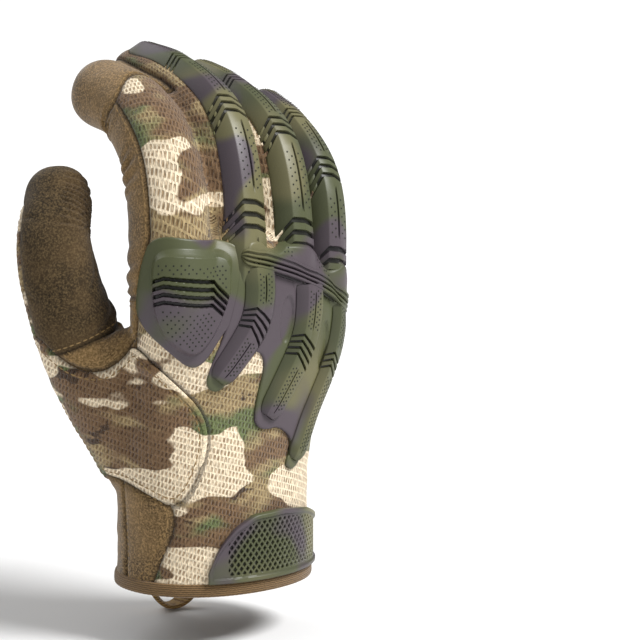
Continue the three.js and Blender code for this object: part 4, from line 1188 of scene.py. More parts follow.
def flange_height(flat, inward):
    """The guard's base: thin between the struts, with sunken ovals, raised to the strands above the band."""
    u, v = flat[:, 0], flat[:, 1]
    height = 1.45 * dome(inward + 0.3, 1.0)
    for cu, cv, ru, rv in ((9.4, 99.5, 3.2, 8.6), (29.3, 88, 2.3, 9)):
        oval = np.hypot((u - cu - 0.12 * (v - cv)) / ru, (v - cv) / rv)
        height -= 0.85 * smoothstep((1.1 - oval) / 0.25)
    height += 1.9 * smoothstep(above_band(flat) / 2) * np.clip((inward - 0.4) / 2.2, 0, 1)
    return np.maximum(height, 0.35)


SEWN_INSET, PATCH_THICK = 1.3, 0.75


def pad_height(tall):
    """A stuffed patch: stitched flat round its edge, then crowned."""
    def height(flat, inward):
        crown = smoothstep((inward - SEWN_INSET) / 4.5)
        sewn = bell(inward - SEWN_INSET, 0.5)
        return PATCH_THICK * dome(inward + 0.35, 0.9) - 0.3 * sewn + (tall - PATCH_THICK) * crown
    return height


def flat_dots(relief, outline, height, keep):
    """Perforations on a staggered grid over a flat outline, where keep allows them."""
    low, high = outline.min(0), outline.max(0)
    rows = []
    for k, v in enumerate(np.arange(low[1], high[1], DOT_PITCH * 0.8)):
        for u in np.arange(low[0] + (k % 2) * DOT_PITCH * 0.6, high[0], DOT_PITCH * 1.2):
            rows.append((u, v))
    flat = np.array(rows)
    inward = -inside_of(flat, outline)
    flat, inward = flat[inward > 0], inward[inward > 0]
    chosen = keep(flat, inward)
    flat, inward = flat[chosen], inward[chosen]
    base, normal = relief.at(flat[:, 0], flat[:, 1])
    along = unit(np.cross(normal, [0, 0, 1]))
    return list(zip(base + normal * (height(flat, inward) + 0.04)[:, None], along, normal))


# Geometry node trees: what repeats along seams and over the guards


def tree_inputs(tree, sockets):
    tree.interface.new_socket(name="Geometry", in_out="OUTPUT", socket_type="NodeSocketGeometry")
    for name, kind, value in sockets:
        socket = tree.interface.new_socket(name=name, in_out="INPUT", socket_type=kind)
        if value is not None:
            socket.default_value = value


def repeat_tree(name, shape):
    """Sets a small shape on every point, along its own direction and facing out of the surface."""
    tree = bpy.data.node_groups.new(name, "GeometryNodeTree")
    tree_inputs(tree, [("Geometry", "NodeSocketGeometry", None), ("Length", "NodeSocketFloat", 0.002),
                       ("Width", "NodeSocketFloat", 0.0005), ("Height", "NodeSocketFloat", 0.0004),
                       ("Material", "NodeSocketMaterial", None)])
    start, end = node(tree, "NodeGroupInput"), node(tree, "NodeGroupOutput")
    if shape == "stitch":
        mesh = node(tree, "GeometryNodeMeshUVSphere", {"Segments": 8, "Rings": 5, "Radius": 0.5})
    else:
        mesh = node(tree, "GeometryNodeMeshCylinder",
                    {"Vertices": 8 if shape == "dot" else 4, "Radius": 0.5, "Depth": 1.0})
    size = node(tree, "ShaderNodeCombineXYZ", {"X": start.outputs["Length"], "Y": start.outputs["Width"],
                                               "Z": start.outputs["Height"]})
    shaped = node(tree, "GeometryNodeTransform", {"Geometry": mesh.outputs["Mesh"], "Scale": size.outputs[0]})
    along = node(tree, "GeometryNodeInputNamedAttribute", {"Name": "along"}, data_type="FLOAT_VECTOR")
    out = node(tree, "GeometryNodeInputNamedAttribute", {"Name": "out"}, data_type="FLOAT_VECTOR")
    lie = node(tree, "FunctionNodeAlignRotationToVector", {"Vector": along.outputs[0]}, axis="X")
    face = node(tree, "FunctionNodeAlignRotationToVector",
                {"Rotation": lie.outputs[0], "Vector": out.outputs[0]}, axis="Z", pivot_axis="X")
    placed = node(tree, "GeometryNodeInstanceOnPoints",
                  {"Points": start.outputs["Geometry"], "Instance": shaped.outputs[0],
                                                         "Rotation": face.outputs[0]})
    real = node(tree, "GeometryNodeRealizeInstances", {"Geometry": placed.outputs[0]})
    painted = node(tree, "GeometryNodeSetMaterial",
                   {"Geometry": real.outputs[0], "Material": start.outputs["Material"]})
    tree.links.new(painted.outputs[0], end.inputs[0])
    return tree


def repeated(name, tree, points, along, out, material, slot, sizes):
    """Runs a repeating tree over points in millimetres and keeps the plain mesh it makes."""
    mesh = bpy.data.meshes.new(name)
    mesh.from_pydata((np.asarray(points) * MM).tolist(), [], [])
    for label, values in (("along", along), ("out", out)):
        attribute = mesh.attributes.new(label, "FLOAT_VECTOR", "POINT")
        attribute.data.foreach_set("vector", np.asarray(values, np.float32).ravel())
    obj = linked(name, mesh)
    modifier = obj.modifiers.new("repeat", "NODES")
    modifier.node_group = tree
    values = {"Length": sizes[0] * MM, "Width": sizes[1] * MM, "Height": sizes[2] * MM, "Material": material}
    for item in tree.interface.items_tree:
        if item.item_type == "SOCKET" and item.in_out == "INPUT" and item.name in values:
            modifier[item.identifier] = values[item.name]
    made = bpy.data.meshes.new_from_object(obj.evaluated_get(bpy.context.evaluated_depsgraph_get()))
    obj.modifiers.remove(modifier)
    obj.data = made
    made.shade_smooth()
    made.set_sharp_from_angle(angle=math.radians(50))
    return worn(obj, slot)


def contour(field, level):
    """Polylines on the shell where a panel's distance field has a value, with their normals."""
    s = SHELL
    own = s["names"].index(field) + 1
    data = s["data"]
    chosen = s["label"] == own if level < 0 else (s["label"] > own) & (s["label"] != BELOW_HEM)
    faces = s["faces"][chosen]
    f = data[:, s["fields"][field]] - level
    f[f == 0] = 1e-6
    points = data[:, :3] + data[:, 3:6] * s["rise"][:, None]
    sign = f[faces] > 0
    faces = faces[(sign.sum(1) > 0) & (sign.sum(1) < 3)]
    links, places = {}, {}
    for face in faces:
        ends = []
        for a, b in ((face[0], face[1]), (face[1], face[2]), (face[2], face[0])):
            if (f[a] > 0) != (f[b] > 0):
                key = (min(a, b), max(a, b))
                t = f[key[0]] / (f[key[0]] - f[key[1]])
                places[key] = (points[key[0]] * (1 - t) + points[key[1]] * t,
                               data[key[0], 3:6] * (1 - t) + data[key[1], 3:6] * t)
                ends.append(key)
        if len(ends) == 2:
            links.setdefault(ends[0], []).append(ends[1])
            links.setdefault(ends[1], []).append(ends[0])
    lines, seen = [], set()
    for start in sorted(links, key=lambda k: (len(links[k]), k)):
        if start in seen:
            continue
        line, here = [start], start
        seen.add(start)
        while True:
            ahead = [k for k in links[here] if k not in seen]
            if not ahead:
                break
            here = ahead[0]
            seen.add(here)
            line.append(here)
        if len(line) > 12:
            lines.append((np.array([places[k][0] for k in line]),
                          unit(np.array([places[k][1] for k in line]))))
    return lines


def spaced(points, outs, pitch):
    """Places at an even pitch along a line, with the direction along it and out of the surface."""
    points = eased(points, 4)
    run = run_of(points)
    even = np.arange(pitch / 2, run[-1], pitch)
    if len(even) < 2:
        return np.zeros((0, 3)), np.zeros((0, 3)), np.zeros((0, 3))
    ahead, behind = read_at(even + 0.3, run, points), read_at(even - 0.3, run, points)
    return read_at(even, run, points), unit(ahead - behind), unit(read_at(even, run, outs))


ROLL_STEP = 0.9


def rolled(lines, width, thick, lift):
    """A rolled edge of cloth along lines on the shell: a flattened bead, drawn in at both ends."""
    parts = []
    for points, outs in lines:
        points = eased(points, 6)
        run = run_of(points)
        even = np.arange(0, run[-1], ROLL_STEP)
        if len(even) < 8:
            continue
        points, outs = read_at(even, run, points), read_at(even, run, outs)
        along = unit(np.gradient(points, axis=0))
        across = unit(np.cross(along, outs))
        angle = np.linspace(0, 2 * np.pi, 11)[:-1]
        rings = []
        for i, (p, a, o) in enumerate(zip(points, across, unit(outs))):
            size = math.sqrt(min(1, (min(i, len(points) - 1 - i) + 0.3) / 3))
            rings.append([p + a * math.cos(t) * width / 2 * size
                          + o * (math.sin(t) * thick / 2 * size + lift) for t in angle])
        parts.append(outward(*loft(rings)))
    return joined(parts)


# Materials


def node(tree, kind, values=None, **settings):
    """A node with its settings; each value is a number for a socket or a socket to link to it."""
    made = tree.nodes.new(kind)
    for key, value in settings.items():
        setattr(made, key, value)
    for key, value in (values or {}).items():
        if isinstance(value, bpy.types.NodeSocket):
            tree.links.new(value, made.inputs[key])
        else:
            made.inputs[key].default_value = value
    return made


def painted(tree, ground, *coats):
    """Colours laid over a ground one after another, each where its mask is 1."""
    for mask, colour in coats:
        ground = node(tree, "ShaderNodeMix", {0: mask, 6: ground, 7: colour}, data_type="RGBA").outputs[2]
    return ground


def spots(tree, vector, size, low, high, detail=2.0, roughness=0.5, seed=0.0):
    """Noise with lumps of a size in metres, stretched to a mask between two levels."""
    values = {"Vector": vector, "W": seed, "Scale": 1 / size, "Detail": detail, "Roughness": roughness}
    field = node(tree, "ShaderNodeTexNoise", values, noise_dimensions="4D").outputs[0]
    return stretched(tree, field, low, high, interpolation_type="SMOOTHSTEP")


def stretched(tree, value, low, high, least=0.0, most=1.0, **settings):
    """A pattern's values between two levels, spread from least to most."""
    return node(tree, "ShaderNodeMapRange", {"Value": value, "From Min": low, "From Max": high,
                                             "To Min": least, "To Max": most}, **settings).outputs[0]


def surface(name, build, bump, distance, sockets):
    """A material whose build function gives its colour and the height of its grain."""
    material = bpy.data.materials.new(name)
    material.use_nodes = True
    tree = material.node_tree
    tree.nodes.clear()
    place = node(tree, "ShaderNodeTexCoord").outputs["Object"]
    colour, height = build(tree, place)
    relief = node(tree, "ShaderNodeBump", {"Strength": bump, "Distance": distance, "Height": height})
    sockets = {"Base Color": colour, "Normal": relief.outputs[0], **sockets}
    shader = node(tree, "ShaderNodeBsdfPrincipled", sockets)
    node(tree, "ShaderNodeOutputMaterial", {"Surface": shader.outputs[0]})
    return material


def printed(tree, place, colours):
    """A generic camouflage print: soft ground tones with brown, dark and cream blotches over them."""
    flat = node(tree, "ShaderNodeMapping", {"Vector": place, "Rotation": (0, 0.22, 0), "Scale": (1, 1, 2.0),
                                            "Location": (0.31, 0.12, 0.57)}).outputs[0]
    return painted(tree, colours["khaki"],
                   (spots(tree, flat, 0.03, 0.44, 0.56, 2, seed=1.7), colours["green"]),
                   (spots(tree, flat, 0.034, 0.46, 0.53, 3, seed=4.1), colours["brown"]),
                   (spots(tree, flat, 0.02, 0.6, 0.63, 3, 0.6, seed=9.3), colours["dark"]),
                   (spots(tree, flat, 0.034, 0.535, 0.55, 2, 0.4, seed=12.4), colours["cream"]))


def knit(colours):
    """Polyester mesh knit, printed: slanting pits 1.4 mm apart in staggered rows, between streaky yarns."""
    def build(tree, place):
        weave = node(tree, "ShaderNodeUVMap", uv_map="weave").outputs[0]
        slant = node(tree, "ShaderNodeMapping", {"Vector": weave, "Rotation": (0, 0, 0.3)}).outputs[0]
        rows = {"Scale": 125, "Brick Width": 0.175, "Row Height": 0.29, "Mortar Size": 0.062,
                "Mortar Smooth": 1.0}
        mesh = node(tree, "ShaderNodeTexBrick", {"Vector": slant, "Bias": 0.0, **rows}).outputs["Fac"]
        along = node(tree, "ShaderNodeMapping", {"Vector": weave, "Rotation": (0, 0, 0.3),
                                                 "Scale": (1, 0.25, 1)}).outputs[0]
        yarn = node(tree, "ShaderNodeTexNoise", {"Vector": along, "Scale": 1900, "Detail": 2.0,
                                                 "Roughness": 0.7}).outputs[0]
        open_pit = stretched(tree, mesh, 0.0, 0.5, interpolation_type="SMOOTHSTEP")
        shut = node(tree, "ShaderNodeMath", {0: spots(tree, place, 0.0022, 0.3, 0.75, 1, seed=6.2), 1: 0.75},
                    operation="MULTIPLY").outputs[0]
        pit = node(tree, "ShaderNodeMath", {0: open_pit, 1: shut}, operation="MAXIMUM").outputs[0]
        dyed = printed(tree, place, colours)
        # Painted shade: the print darkened in the low open holes of the mesh, between the yarns
        deep = node(tree, "ShaderNodeMix", {0: 1.0, 6: dyed, 7: (0.42, 0.34, 0.26, 1)}, data_type="RGBA",
                    blend_type="MULTIPLY").outputs[2]
        height = node(tree, "ShaderNodeMath", {0: yarn, 1: 0.45, 2: pit}, operation="MULTIPLY_ADD").outputs[0]
        colour = toned(tree, painted(tree, deep, (pit, dyed)), stretched(tree, yarn, 0.3, 0.7, 0.6, 1.35))
        # painted shade along seams and in creases, from the shade attribute
        return shaded(tree, colour, 0.25), height
    return build


def folded(colours):
    """The same printed cloth folded over an edge: no open pits, only yarn."""
    def build(tree, place):
        yarn = node(tree, "ShaderNodeTexNoise", {"Vector": place, "Scale": 1300, "Detail": 2.0,
                                                 "Roughness": 0.6}).outputs[0]
        return toned(tree, printed(tree, place, colours), stretched(tree, yarn, 0.3, 0.7, 0.55, 1.35)), yarn
    return build


def toned(tree, colour, tone):
    """A colour made darker or lighter by a number."""
    grey = node(tree, "ShaderNodeCombineColor", {"Red": tone, "Green": tone, "Blue": tone}).outputs[0]
    return node(tree, "ShaderNodeMix", {0: 1.0, 6: colour, 7: grey}, data_type="RGBA",
                blend_type="MULTIPLY").outputs[2]


def shaded(tree, colour, low=0.06):
    """Painted shade: darker where the mesh's shade attribute is low, in grooves, seams, creases and recesses.
    """
    painted_shade_level = node(tree, "ShaderNodeAttribute", attribute_name="shade").outputs["Fac"]
    return toned(tree, colour, stretched(tree, painted_shade_level, 0.0, 1.0, low))


def suede(dark, light, worn_colour, grain=0.00075):
    """Brushed synthetic suede: a short nap, light at its tips and dark under them, rubbed in patches."""
    def build(tree, place):
        fibre = node(tree, "ShaderNodeTexNoise", {"Vector": place, "Scale": 1 / grain, "Detail": 3.0,
                                                  "Roughness": 0.65}).outputs[0]
        nap = painted(tree, dark, (spots(tree, place, 0.028, 0.4, 0.62, 3, 0.6, seed=2.2), worn_colour),
                      (stretched(tree, fibre, 0.42, 0.68), light))
        # painted shade along seams and in creases, from the shade attribute
        return shaded(tree, nap, 0.25), fibre
    return build


def rubber(colours):
    """Injection-moulded rubber in colours that run together: matt, faintly pebbled, with painted shade in its
    grooves.
    """
    def build(tree, place):
        flat = node(tree, "ShaderNodeMapping", {"Vector": place, "Rotation": (0, -0.5, 0),
                                                "Scale": (1, 1, 1.2),
                                                "Location": (0.27, 0.44, 0.19)}).outputs[0]
        colour = painted(tree, colours["rubber_green"],
                         (spots(tree, flat, 0.045, 0.45, 0.58, 1, seed=3.3), colours["rubber_tan"]),
                         (spots(tree, flat, 0.034, 0.5, 0.57, 1, seed=15.2), colours["rubber_purple"]))
        pebble = node(tree, "ShaderNodeTexNoise", {"Vector": place, "Scale": 2500, "Detail": 1.0}).outputs[0]
        return shaded(tree, colour), pebble
    return build


def woven(base, shadow, pitch=0.0007):
    """Plain woven tape: fine cross ribs over a twill ground."""
    def build(tree, place):
        ribs = node(tree, "ShaderNodeTexWave", {"Vector": place, "Scale": 0.3 / pitch, "Distortion": 3.0,
                                                "Detail": 2.0,
                                                "Detail Scale": 3.0}, bands_direction="Z").outputs["Fac"]
        return painted(tree, shadow, (stretched(tree, ribs, 0.1, 0.9), base)), ribs
    return build


def plain(colour, spread):
    """One colour with a faint grain, which runs darker by the spread."""
    def build(tree, place):
        grain = node(tree, "ShaderNodeTexNoise", {"Vector": place, "Scale": 900, "Detail": 1.0}).outputs[0]
        dark = tuple(c * (1 - spread) for c in colour[:3]) + (1.0,)
        return painted(tree, dark, (grain, colour)), grain
    return build


MATERIALS = {}


def finish(name):
    """The named material, made once from the colours of the property group."""
    if name in MATERIALS:
        return MATERIALS[name]
    group = bpy.context.scene.glove_colours
    c = {key: tuple(getattr(group, key)) for key in group.__annotations__}
    nap = c["suede_dark"], c["suede_light"], c["suede"]
    # The thumb's suede is a darker copy of the suede: partly the thumb's own darker nap and partly painted
    # shade
    shaded_thumb_nap = c["thumb_dark"], c["thumb_light"], c["thumb"]
    edge = c["side_dark"], c["side_light"], c["side_dark"], 0.0009
    # build, bump strength and depth in metres, roughness, sheen, specular level
    recipes = {
        "printed_mesh_knit": (knit(c), 0.9, 0.0006, 0.92, 0.25, 0.2),
        "brushed_suede": (suede(*nap), 0.6, 0.0004, 0.95, 0.3, 0.15),
        "shaded_suede": (suede(*shaded_thumb_nap), 0.6, 0.0004, 0.95, 0.1, 0.1),
        "grained_suede": (suede(*nap, 0.0009), 0.7, 0.0005, 0.9, 0.3, 0.2),
        "rolled_edge": (suede(*edge), 0.5, 0.0004, 0.9, 0.15, 0.15),
        "folded_knit_edge": (folded(c), 0.5, 0.0004, 0.9, 0.15, 0.15),
        "moulded_rubber": (rubber(c), 0.12, 0.0002, 0.42, 0, 0.4),
        "edge_binding": (woven(c["binding"], c["binding_shadow"]), 0.6, 0.0003, 0.85, 0.2, 0.5),
        "pull_tape": (woven(c["tape"], c["tape_shadow"], 0.0009), 0.6, 0.0003, 0.85, 0.2, 0.5),
        "thread": (plain(c["thread"], 0.3), 0.2, 0.0001, 0.8, 0, 0.5),
        # painted shade inside the perforations, on small discs
        "pierced_hollow": (plain(c["hollow"], 0.2), 0.1, 0.0001, 0.9, 0, 0.5),
        "studio_paper": (plain((0.83, 0.83, 0.83, 1), 0.01), 0.0, 0.0001, 0.9, 0, 0.5),
    }
    build, bump, depth, rough, sheen, gloss = recipes[name]
    sockets = {"Roughness": rough, "Sheen Weight": sheen, "Specular IOR Level": gloss}
    MATERIALS[name] = surface(name, build, bump, depth, sockets)
    return MATERIALS[name]


def tint(name, code, text):
    return bpy.props.FloatVectorProperty(name=name, description=text, default=linear(code), size=4, min=0,
                                         max=1,
                                         subtype="COLOR")


class GloveColours(bpy.types.PropertyGroup):
    khaki: tint("Khaki", "#a28e68", "Ground tone of the print")
    green: tint("Green", "#667048", "Second ground tone of the print")
    brown: tint("Brown", "#775e44", "Broad blotches of the print")
    dark: tint("Dark brown", "#4c3b2c", "Narrow dark shapes of the print")
    cream: tint("Cream", "#ead9bc", "Light shapes of the print")
    suede: tint("Suede", "#6b5534", "Suede where it is rubbed")
    suede_dark: tint("Suede ground", "#483923", "Suede between the fibre tips")
    suede_light: tint("Suede tips", "#9f8157", "Light tips of the nap")
    # Darker copies of the suede colours for the thumb: partly its own darker nap and partly painted shade
    thumb: tint("Thumb suede", "#493a27", "Suede of the thumb where it is rubbed")
    thumb_dark: tint("Thumb ground", "#2b2318", "Thumb suede between the fibre tips")
    thumb_light: tint("Thumb tips", "#65543a", "Light tips of the thumb's nap")
    side_dark: tint("Rolled edge ground", "#6b4a2c", "Strips between the fingers")
    side_light: tint("Rolled edge tips", "#a27a4c", "Light tips on the strips between the fingers")
    rubber_green: tint("Rubber green", "#4b4f34", "Main colour of the moulded guards")
    rubber_tan: tint("Rubber tan", "#6a6646", "Where the guards' colour runs to tan")
    rubber_purple: tint("Rubber grey", "#4e454b", "Where the guards' colour runs to grey")
    binding: tint("Binding", "#7d6038", "Woven binding of the hem")
    binding_shadow: tint("Binding shadow", "#4f3a1c", "Between the ribs of the binding")
    tape: tint("Tape", "#a8854a", "Pull loop and slit tape")
    tape_shadow: tint("Tape shadow", "#7a5a2a", "Between the ribs of the tape")
    thread: tint("Thread", "#94784b", "Stitches")
    # painted shade inside the perforations
    hollow: tint("Hollow", "#23251c", "Inside of the perforations")


def length(name, metres, least, text):
    return bpy.props.FloatProperty(name=name, description=text, default=metres, min=least, unit="LENGTH")


class GloveSizes(bpy.types.PropertyGroup):
    stitch_pitch: length("Stitch pitch", 0.0026, 0.001, "Distance from stitch to stitch")
    stitch_length: length("Stitch length", 0.002, 0.0005, "Length of one stitch")
    thread_width: length("Thread width", 0.00055, 0.0001, "Width of the sewing thread")
    hole: length("Perforation", 0.0007, 0.0001, "Width of a round perforation")
    floor_drop: length("Floor drop", 0.0198, 0, "How far the floor lies under the hem")


RELIEFS = {}


def relief(azimuth):
    """The skin seen from an azimuth, read once: over these spans across and up."""
    spans = {BACK_VIEW: ((-50, 60), (30, 140)), THUMB_VIEW: ((-45, 15), (75, 142)),
             OVERLAY_VIEW: ((-60, 50), (85, 140)), PALM_VIEW: ((-40, 62),
                                                               (18, 100)), SLIT_VIEW: ((-20, 34), (8, 52))}
    if azimuth not in RELIEFS:
        RELIEFS[azimuth] = Relief(azimuth, *spans[azimuth])
    return RELIEFS[azimuth]


class GLOVE_OT_cloth(bpy.types.Operator):
    """Builds the knit and suede panels of the shell"""
    bl_idname = "glove.cloth"
    bl_label = "Knit and suede panels"

    def execute(self, context):
        shell()
        panel("back_knit", finish("printed_mesh_knit"), "knit", ["back_knit"])
        panel("thumb_knit", finish("printed_mesh_knit"), "knit", ["thumb_knit"])
        nodes = {"palm_suede": ["palm_suede"] + [finger + "_palm_side" for finger in FINGERS]}
        for name in ("index_cap", "thumb_suede", "thumb_saddle", "wrist_suede", "palm_suede"):
            # the thumb gets the darker copy of the suede, partly painted shade
            dark = name == "thumb_suede"
            panel(name, finish("shaded_suede" if dark else "brushed_suede"), "suede", nodes.get(name, [name]))
        panel("finger_sides", finish("printed_mesh_knit"), "knit", [])
        return {"FINISHED"}


class GLOVE_OT_edges(bpy.types.Operator):
    """Builds the rolled edges along the finger sides and the thumb gusset"""
    bl_idname = "glove.edges"
    bl_label = "Rolled edges"

    def execute(self, context):
        sides = rolled(contour("finger_sides", -0.35) + contour("finger_sides", -2.3), 1.5, 1.4, 0.35)
        piece("finger_side_rolls", *sides[:2], finish("rolled_edge"), "suede", tone=sides[2])
        gusset = []
        for points, outs in contour("thumb_knit", -0.7):
            x, y, z = points.T
            inside = (y < 3) & (z > 30) & (z < 96) & (x > np.where(z < 48, -24, -45))
            runs = np.split(np.arange(len(points)), np.nonzero(np.diff(inside.astype(int)))[0] + 1)
            gusset += [(points[r], outs[r]) for r in runs if len(r) > 12 and inside[r[0]]]
        edge = rolled(gusset, 1.9, 1.0, 0.45)
        piece("gusset_edge", *edge[:2], finish("folded_knit_edge"), "knit", tone=edge[2])
        return {"FINISHED"}


def moulded(name, made, nodes=()):
    return piece(name, *made[:2], finish("moulded_rubber"), "guard_rubber", nodes, sharp=40, tone=made[2])


class GLOVE_OT_index_guard(bpy.types.Operator):
    """Builds the moulded pad over the index knuckle"""
    bl_idname = "glove.index_guard"
    bl_label = "Index knuckle pad"

    def execute(self, context):
        outline = rounded(INDEX_FLANGE, 3)
        # painted shade in the chevron grooves of the pad
        made = laid(relief(THUMB_VIEW), outline, 0.26, index_height,
                    tone=lambda flat, inward: 1 - GROOVE_SHADE * index_grooves(flat))
        moulded("index_knuckle_pad", made, ["index_guard"])
        raised = rounded(INDEX_RAISED, 3)

        def keep(flat, inward):
            line = index_line(flat)
            above = (line > 118.8) & (flat[:, 1] < 121.4 - 0.13 * (flat[:, 0] + 14))
            below = line < INDEX_FIRST_GROOVE - 4.2 * GROOVE_PITCH + 0.4
            return (above | below) & (inward > 2.4)

        def height(flat, inward):
            return index_height(flat, np.full(len(flat), 5.0))

        DOTS.extend(flat_dots(relief(THUMB_VIEW), raised, height, keep))
        return {"FINISHED"}


class GLOVE_OT_knuckle_guard(bpy.types.Operator):
    """Builds the main guard: flange, struts, cross band and finger strands"""
    bl_idname = "glove.knuckle_guard"
    bl_label = "Knuckle and finger guard"

    def execute(self, context):
        back = relief(BACK_VIEW)
        outline = rounded(GUARD_FLANGE, 3)
        flange = laid(back, outline, 0.45, flange_height)
        struts = [strut(back, STRUTS[name], [STRUT_GROOVES[name]]) for name in STRUTS]
        made = joined([flange, *struts, band(back)])
        moulded("knuckle_guard_plate", made, ["knuckle_guard"])
        for seed, name in enumerate(("middle", "ring", "little")):
            made = joined([strand(DIGITS[name]), outward(*skirt(DIGITS[name], seed))])
            moulded(name + "_finger_guard", made)

        def keep(flat, inward):
            u = flat[:, 0]
            between = (np.abs(u - 9.5) < 4.5) | (np.abs(u - 30.5) < 3.5)
            return (above_band(flat) > 4.3) & (inward > 2.4) & between

        DOTS.extend(flat_dots(back, outline, flange_height, keep))
        return {"FINISHED"}


class GLOVE_OT_patches(bpy.types.Operator):
    """Builds the reinforcement patches of the palm"""
    bl_idname = "glove.patches"
    bl_label = "Palm patches"

    def execute(self, context):
        suede_finish = finish("grained_suede")

        # Painted shade along the sunk stitch line and at the edge of each patch
        def tone(flat, inward):
            return 1 - 0.6 * bell(inward - SEWN_INSET, 0.5) - 0.5 * bell(inward, 0.5)

        for name, outline, azimuth, tall in (("palm_overlay", OVERLAY, OVERLAY_VIEW, 1.0),
                                             ("heel_pad", HEEL_PAD, PALM_VIEW, 2.6),
                                             ("thenar_pad", THENAR_PAD, PALM_VIEW, 2.4)):
            made = laid(relief(azimuth), rounded(outline, 3), 0.5, pad_height(tall), tone)
            patch = piece(name + "_patch", *made[:2], suede_finish, "suede_patch", [name], tone=made[2])
        return {"FINISHED"}


class GLOVE_OT_cuff(bpy.types.Operator):
    """Builds the strap, the bound hem, the bound slit and the pull loop"""
    bl_idname = "glove.cuff"
    bl_label = "Strap, bindings and loop"

    def execute(self, context):
        made = strap()
        moulded("wrist_strap", made, ["cuff_strap"])
        piece("hem_tape", *outward(*hem()), finish("edge_binding"), "binding", ["hem_binding"])
        side = relief(SLIT_VIEW)
        legs = []
        for rows in SLIT_LEGS:
            path, _ = path_points([(u, v, 1) for u, v in rows], 60)
            base, normal = side.at(path[:, 0], path[:, 1])
            legs.append(outward(*tape(base + normal * 0.55, normal, 4.2, 1.1)))
        piece("slit_tape", *joined(legs)[:2], finish("pull_tape"), "tape", ["slit_binding"])
        piece("pull_loop_tape", *outward(*loop()), finish("pull_tape"), "tape", ["pull_loop"])
        return {"FINISHED"}


class GLOVE_OT_stitches(bpy.types.Operator):
    """Sews the seams and patches with stitches"""
    bl_idname = "glove.stitches"
    bl_label = "Stitches"

    def execute(self, context):
        sizes = context.scene.glove_sizes
        pitch = sizes.stitch_pitch / MM
        rows = []
        for name, level in (("thumb_knit", -2.6), ("thumb_saddle", -1.5), ("thumb_saddle", -3.1),
                            ("index_cap", -1.6),
                            ("back_knit", 1.6), ("wrist_suede", -1.5), ("thumb_suede", -1.6)):
            rows += [spaced(points, outs, pitch) for points, outs in contour(name, level)]
        for outline, azimuth, lift, inset in ((OVERLAY, OVERLAY_VIEW, 0.5, SEWN_INSET),
                                              (HEEL_PAD, PALM_VIEW, 0.5, SEWN_INSET),
                                              (HEEL_PAD, PALM_VIEW, 1.3, 3.6),
                                              (THENAR_PAD, PALM_VIEW, 0.5, SEWN_INSET)):
            flat = rounded(outline, 3)
            ahead = unit(np.roll(flat, -1, axis=0) - np.roll(flat, 1, axis=0))
            inner = np.stack([-ahead[:, 1], ahead[:, 0]], 1)
            if inside_of(flat + inner, flat).mean() > 0:
                inner = -inner
            flat = flat + inner * inset
            base, normal = relief(azimuth).at(flat[:, 0], flat[:, 1])
            rows.append(spaced(base + normal * lift, normal, pitch))
        points, along, out = (np.concatenate([row[i] for row in rows]) for i in range(3))
        repeated("seam_stitches", repeat_tree("Stitches", "stitch"), points, along, out, finish("thread"),
                 "suede",
                 (sizes.stitch_length / MM, sizes.thread_width / MM, sizes.thread_width / MM * 0.8))
        return {"FINISHED"}


class GLOVE_OT_perforations(bpy.types.Operator):
    """Sets small dark discs over the tops of the guards where their round holes are: painted shade inside the
    holes
    """
    bl_idname = "glove.perforations"
    bl_label = "Perforations"

    def execute(self, context):
        hole = context.scene.glove_sizes.hole / MM
        points, along, out = (np.array([dot[i] for dot in DOTS]) for i in range(3))
        repeated("guard_perforations", repeat_tree("Perforations", "dot"), points, along, out,
                 finish("pierced_hollow"), "guard_rubber",
                 (hole, hole, 0.05))
        return {"FINISHED"}


# The photograph's camera: azimuth and elevation, focus and picture side in pixels, and the pixel aimed at
PHOTO_ANGLES = -39.2, 6.3
PHOTO_FOCUS, PHOTO_SIDE = 2413, 640
PHOTO_AIM = 221.3, 286.5
SENSOR = 36
CAMERA_TARGET, CAMERA_DISTANCE = (0, 0.005, 0.11), 0.9
FLOOR_REACH = 9
FILL_LIGHT, PAPER_LIGHT = 0.36, 1.1


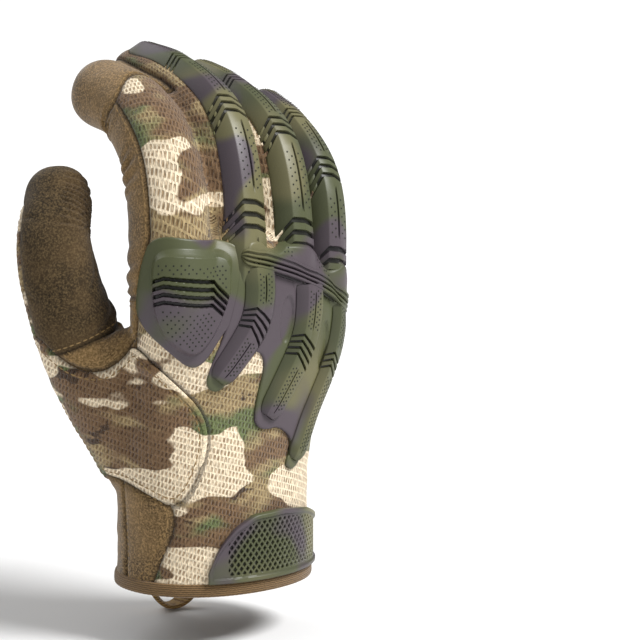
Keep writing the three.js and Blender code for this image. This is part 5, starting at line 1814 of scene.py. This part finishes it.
class GLOVE_OT_stage(bpy.types.Operator):
    """Sets the pale floor, the soft lights and the camera"""
    bl_idname = "glove.stage"
    bl_label = "Stage"

    def execute(self, context):
        drop = -context.scene.glove_sizes.floor_drop
        mesh = bpy.data.meshes.new("floor")
        corners = [(x * FLOOR_REACH, y * FLOOR_REACH, drop) for x, y in ((-1, -1), (1, -1), (1, 1), (-1, 1))]
        mesh.from_pydata(corners, [], [(0, 1, 2, 3)])
        mesh.materials.append(finish("studio_paper"))
        linked("floor", mesh)
        world = bpy.data.worlds.new("studio")
        world.use_nodes = True
        fill = world.node_tree.nodes["Background"]
        fill.inputs["Color"].default_value = (1, 1, 1, 1)
        fill.inputs["Strength"].default_value = FILL_LIGHT
        paper = {"Color": (1, 1, 1, 1), "Strength": PAPER_LIGHT}
        backdrop = node(world.node_tree, "ShaderNodeBackground", paper)
        seen = node(world.node_tree, "ShaderNodeLightPath").outputs["Is Camera Ray"]
        both = node(world.node_tree, "ShaderNodeMixShader",
                    {0: seen, 1: fill.outputs[0], 2: backdrop.outputs[0]})
        world.node_tree.links.new(both.outputs[0], world.node_tree.nodes["World Output"].inputs[0])
        context.scene.world = world
        azimuth, elevation = (math.radians(angle) for angle in PHOTO_ANGLES)
        level = math.cos(elevation)
        back = Vector((math.sin(azimuth) * level, -math.cos(azimuth) * level, math.sin(elevation)))
        right = Vector((math.cos(azimuth), math.sin(azimuth), 0))
        up = back.cross(right)
        for name, toward, power, soft in (("key", back * 0.42 + right * 0.7 + up * 0.9, 3.9, 24),
                                          ("rim", right * -0.7 - back * 0.6 + up * 0.9, 0.8, 45)):
            data = bpy.data.lights.new(name, "SUN")
            data.energy, data.angle = power, math.radians(soft)
            linked(name, data).rotation_euler = (-toward).to_track_quat("-Z", "Y").to_euler()
        data = bpy.data.cameras.new("photo_view")
        data.sensor_width, data.lens = SENSOR, PHOTO_FOCUS / PHOTO_SIDE * SENSOR
        data.clip_end = 50
        camera = linked("photo_view", data)
        camera.location = Vector(CAMERA_TARGET) + back * CAMERA_DISTANCE
        across, rise = ((PHOTO_SIDE / 2 - pixel) / PHOTO_FOCUS for pixel in PHOTO_AIM)
        ahead = -back + right * across - up * rise
        camera.rotation_euler = ahead.to_track_quat("-Z", "Y").to_euler()
        context.scene.camera = camera
        context.scene.view_settings.view_transform = "Standard"
        return {"FINISHED"}


STEPS = [GLOVE_OT_cloth, GLOVE_OT_edges, GLOVE_OT_index_guard, GLOVE_OT_knuckle_guard, GLOVE_OT_patches,
         GLOVE_OT_cuff,
         GLOVE_OT_stitches, GLOVE_OT_perforations, GLOVE_OT_stage]


class GLOVE_PT_panel(bpy.types.Panel):
    bl_idname = "GLOVE_PT_panel"
    bl_label = "Impact glove"
    bl_space_type = "VIEW_3D"
    bl_region_type = "UI"
    bl_category = "Glove"

    def draw(self, context):
        for group in (context.scene.glove_sizes, context.scene.glove_colours):
            for name in group.__annotations__:
                self.layout.prop(group, name)
        for step in STEPS:
            self.layout.operator(step.bl_idname)


CLASSES = [GloveColours, GloveSizes, *STEPS, GLOVE_PT_panel]


def register():
    for made in CLASSES:
        bpy.utils.register_class(made)
    bpy.types.Scene.glove_colours = bpy.props.PointerProperty(type=GloveColours)
    bpy.types.Scene.glove_sizes = bpy.props.PointerProperty(type=GloveSizes)


def unregister():
    del bpy.types.Scene.glove_sizes
    del bpy.types.Scene.glove_colours
    for made in reversed(CLASSES):
        bpy.utils.unregister_class(made)


def main():
    register()
    for step in STEPS:
        group, name = step.bl_idname.split(".")
        getattr(getattr(bpy.ops, group), name)()


if __name__ == "__main__":
    main()
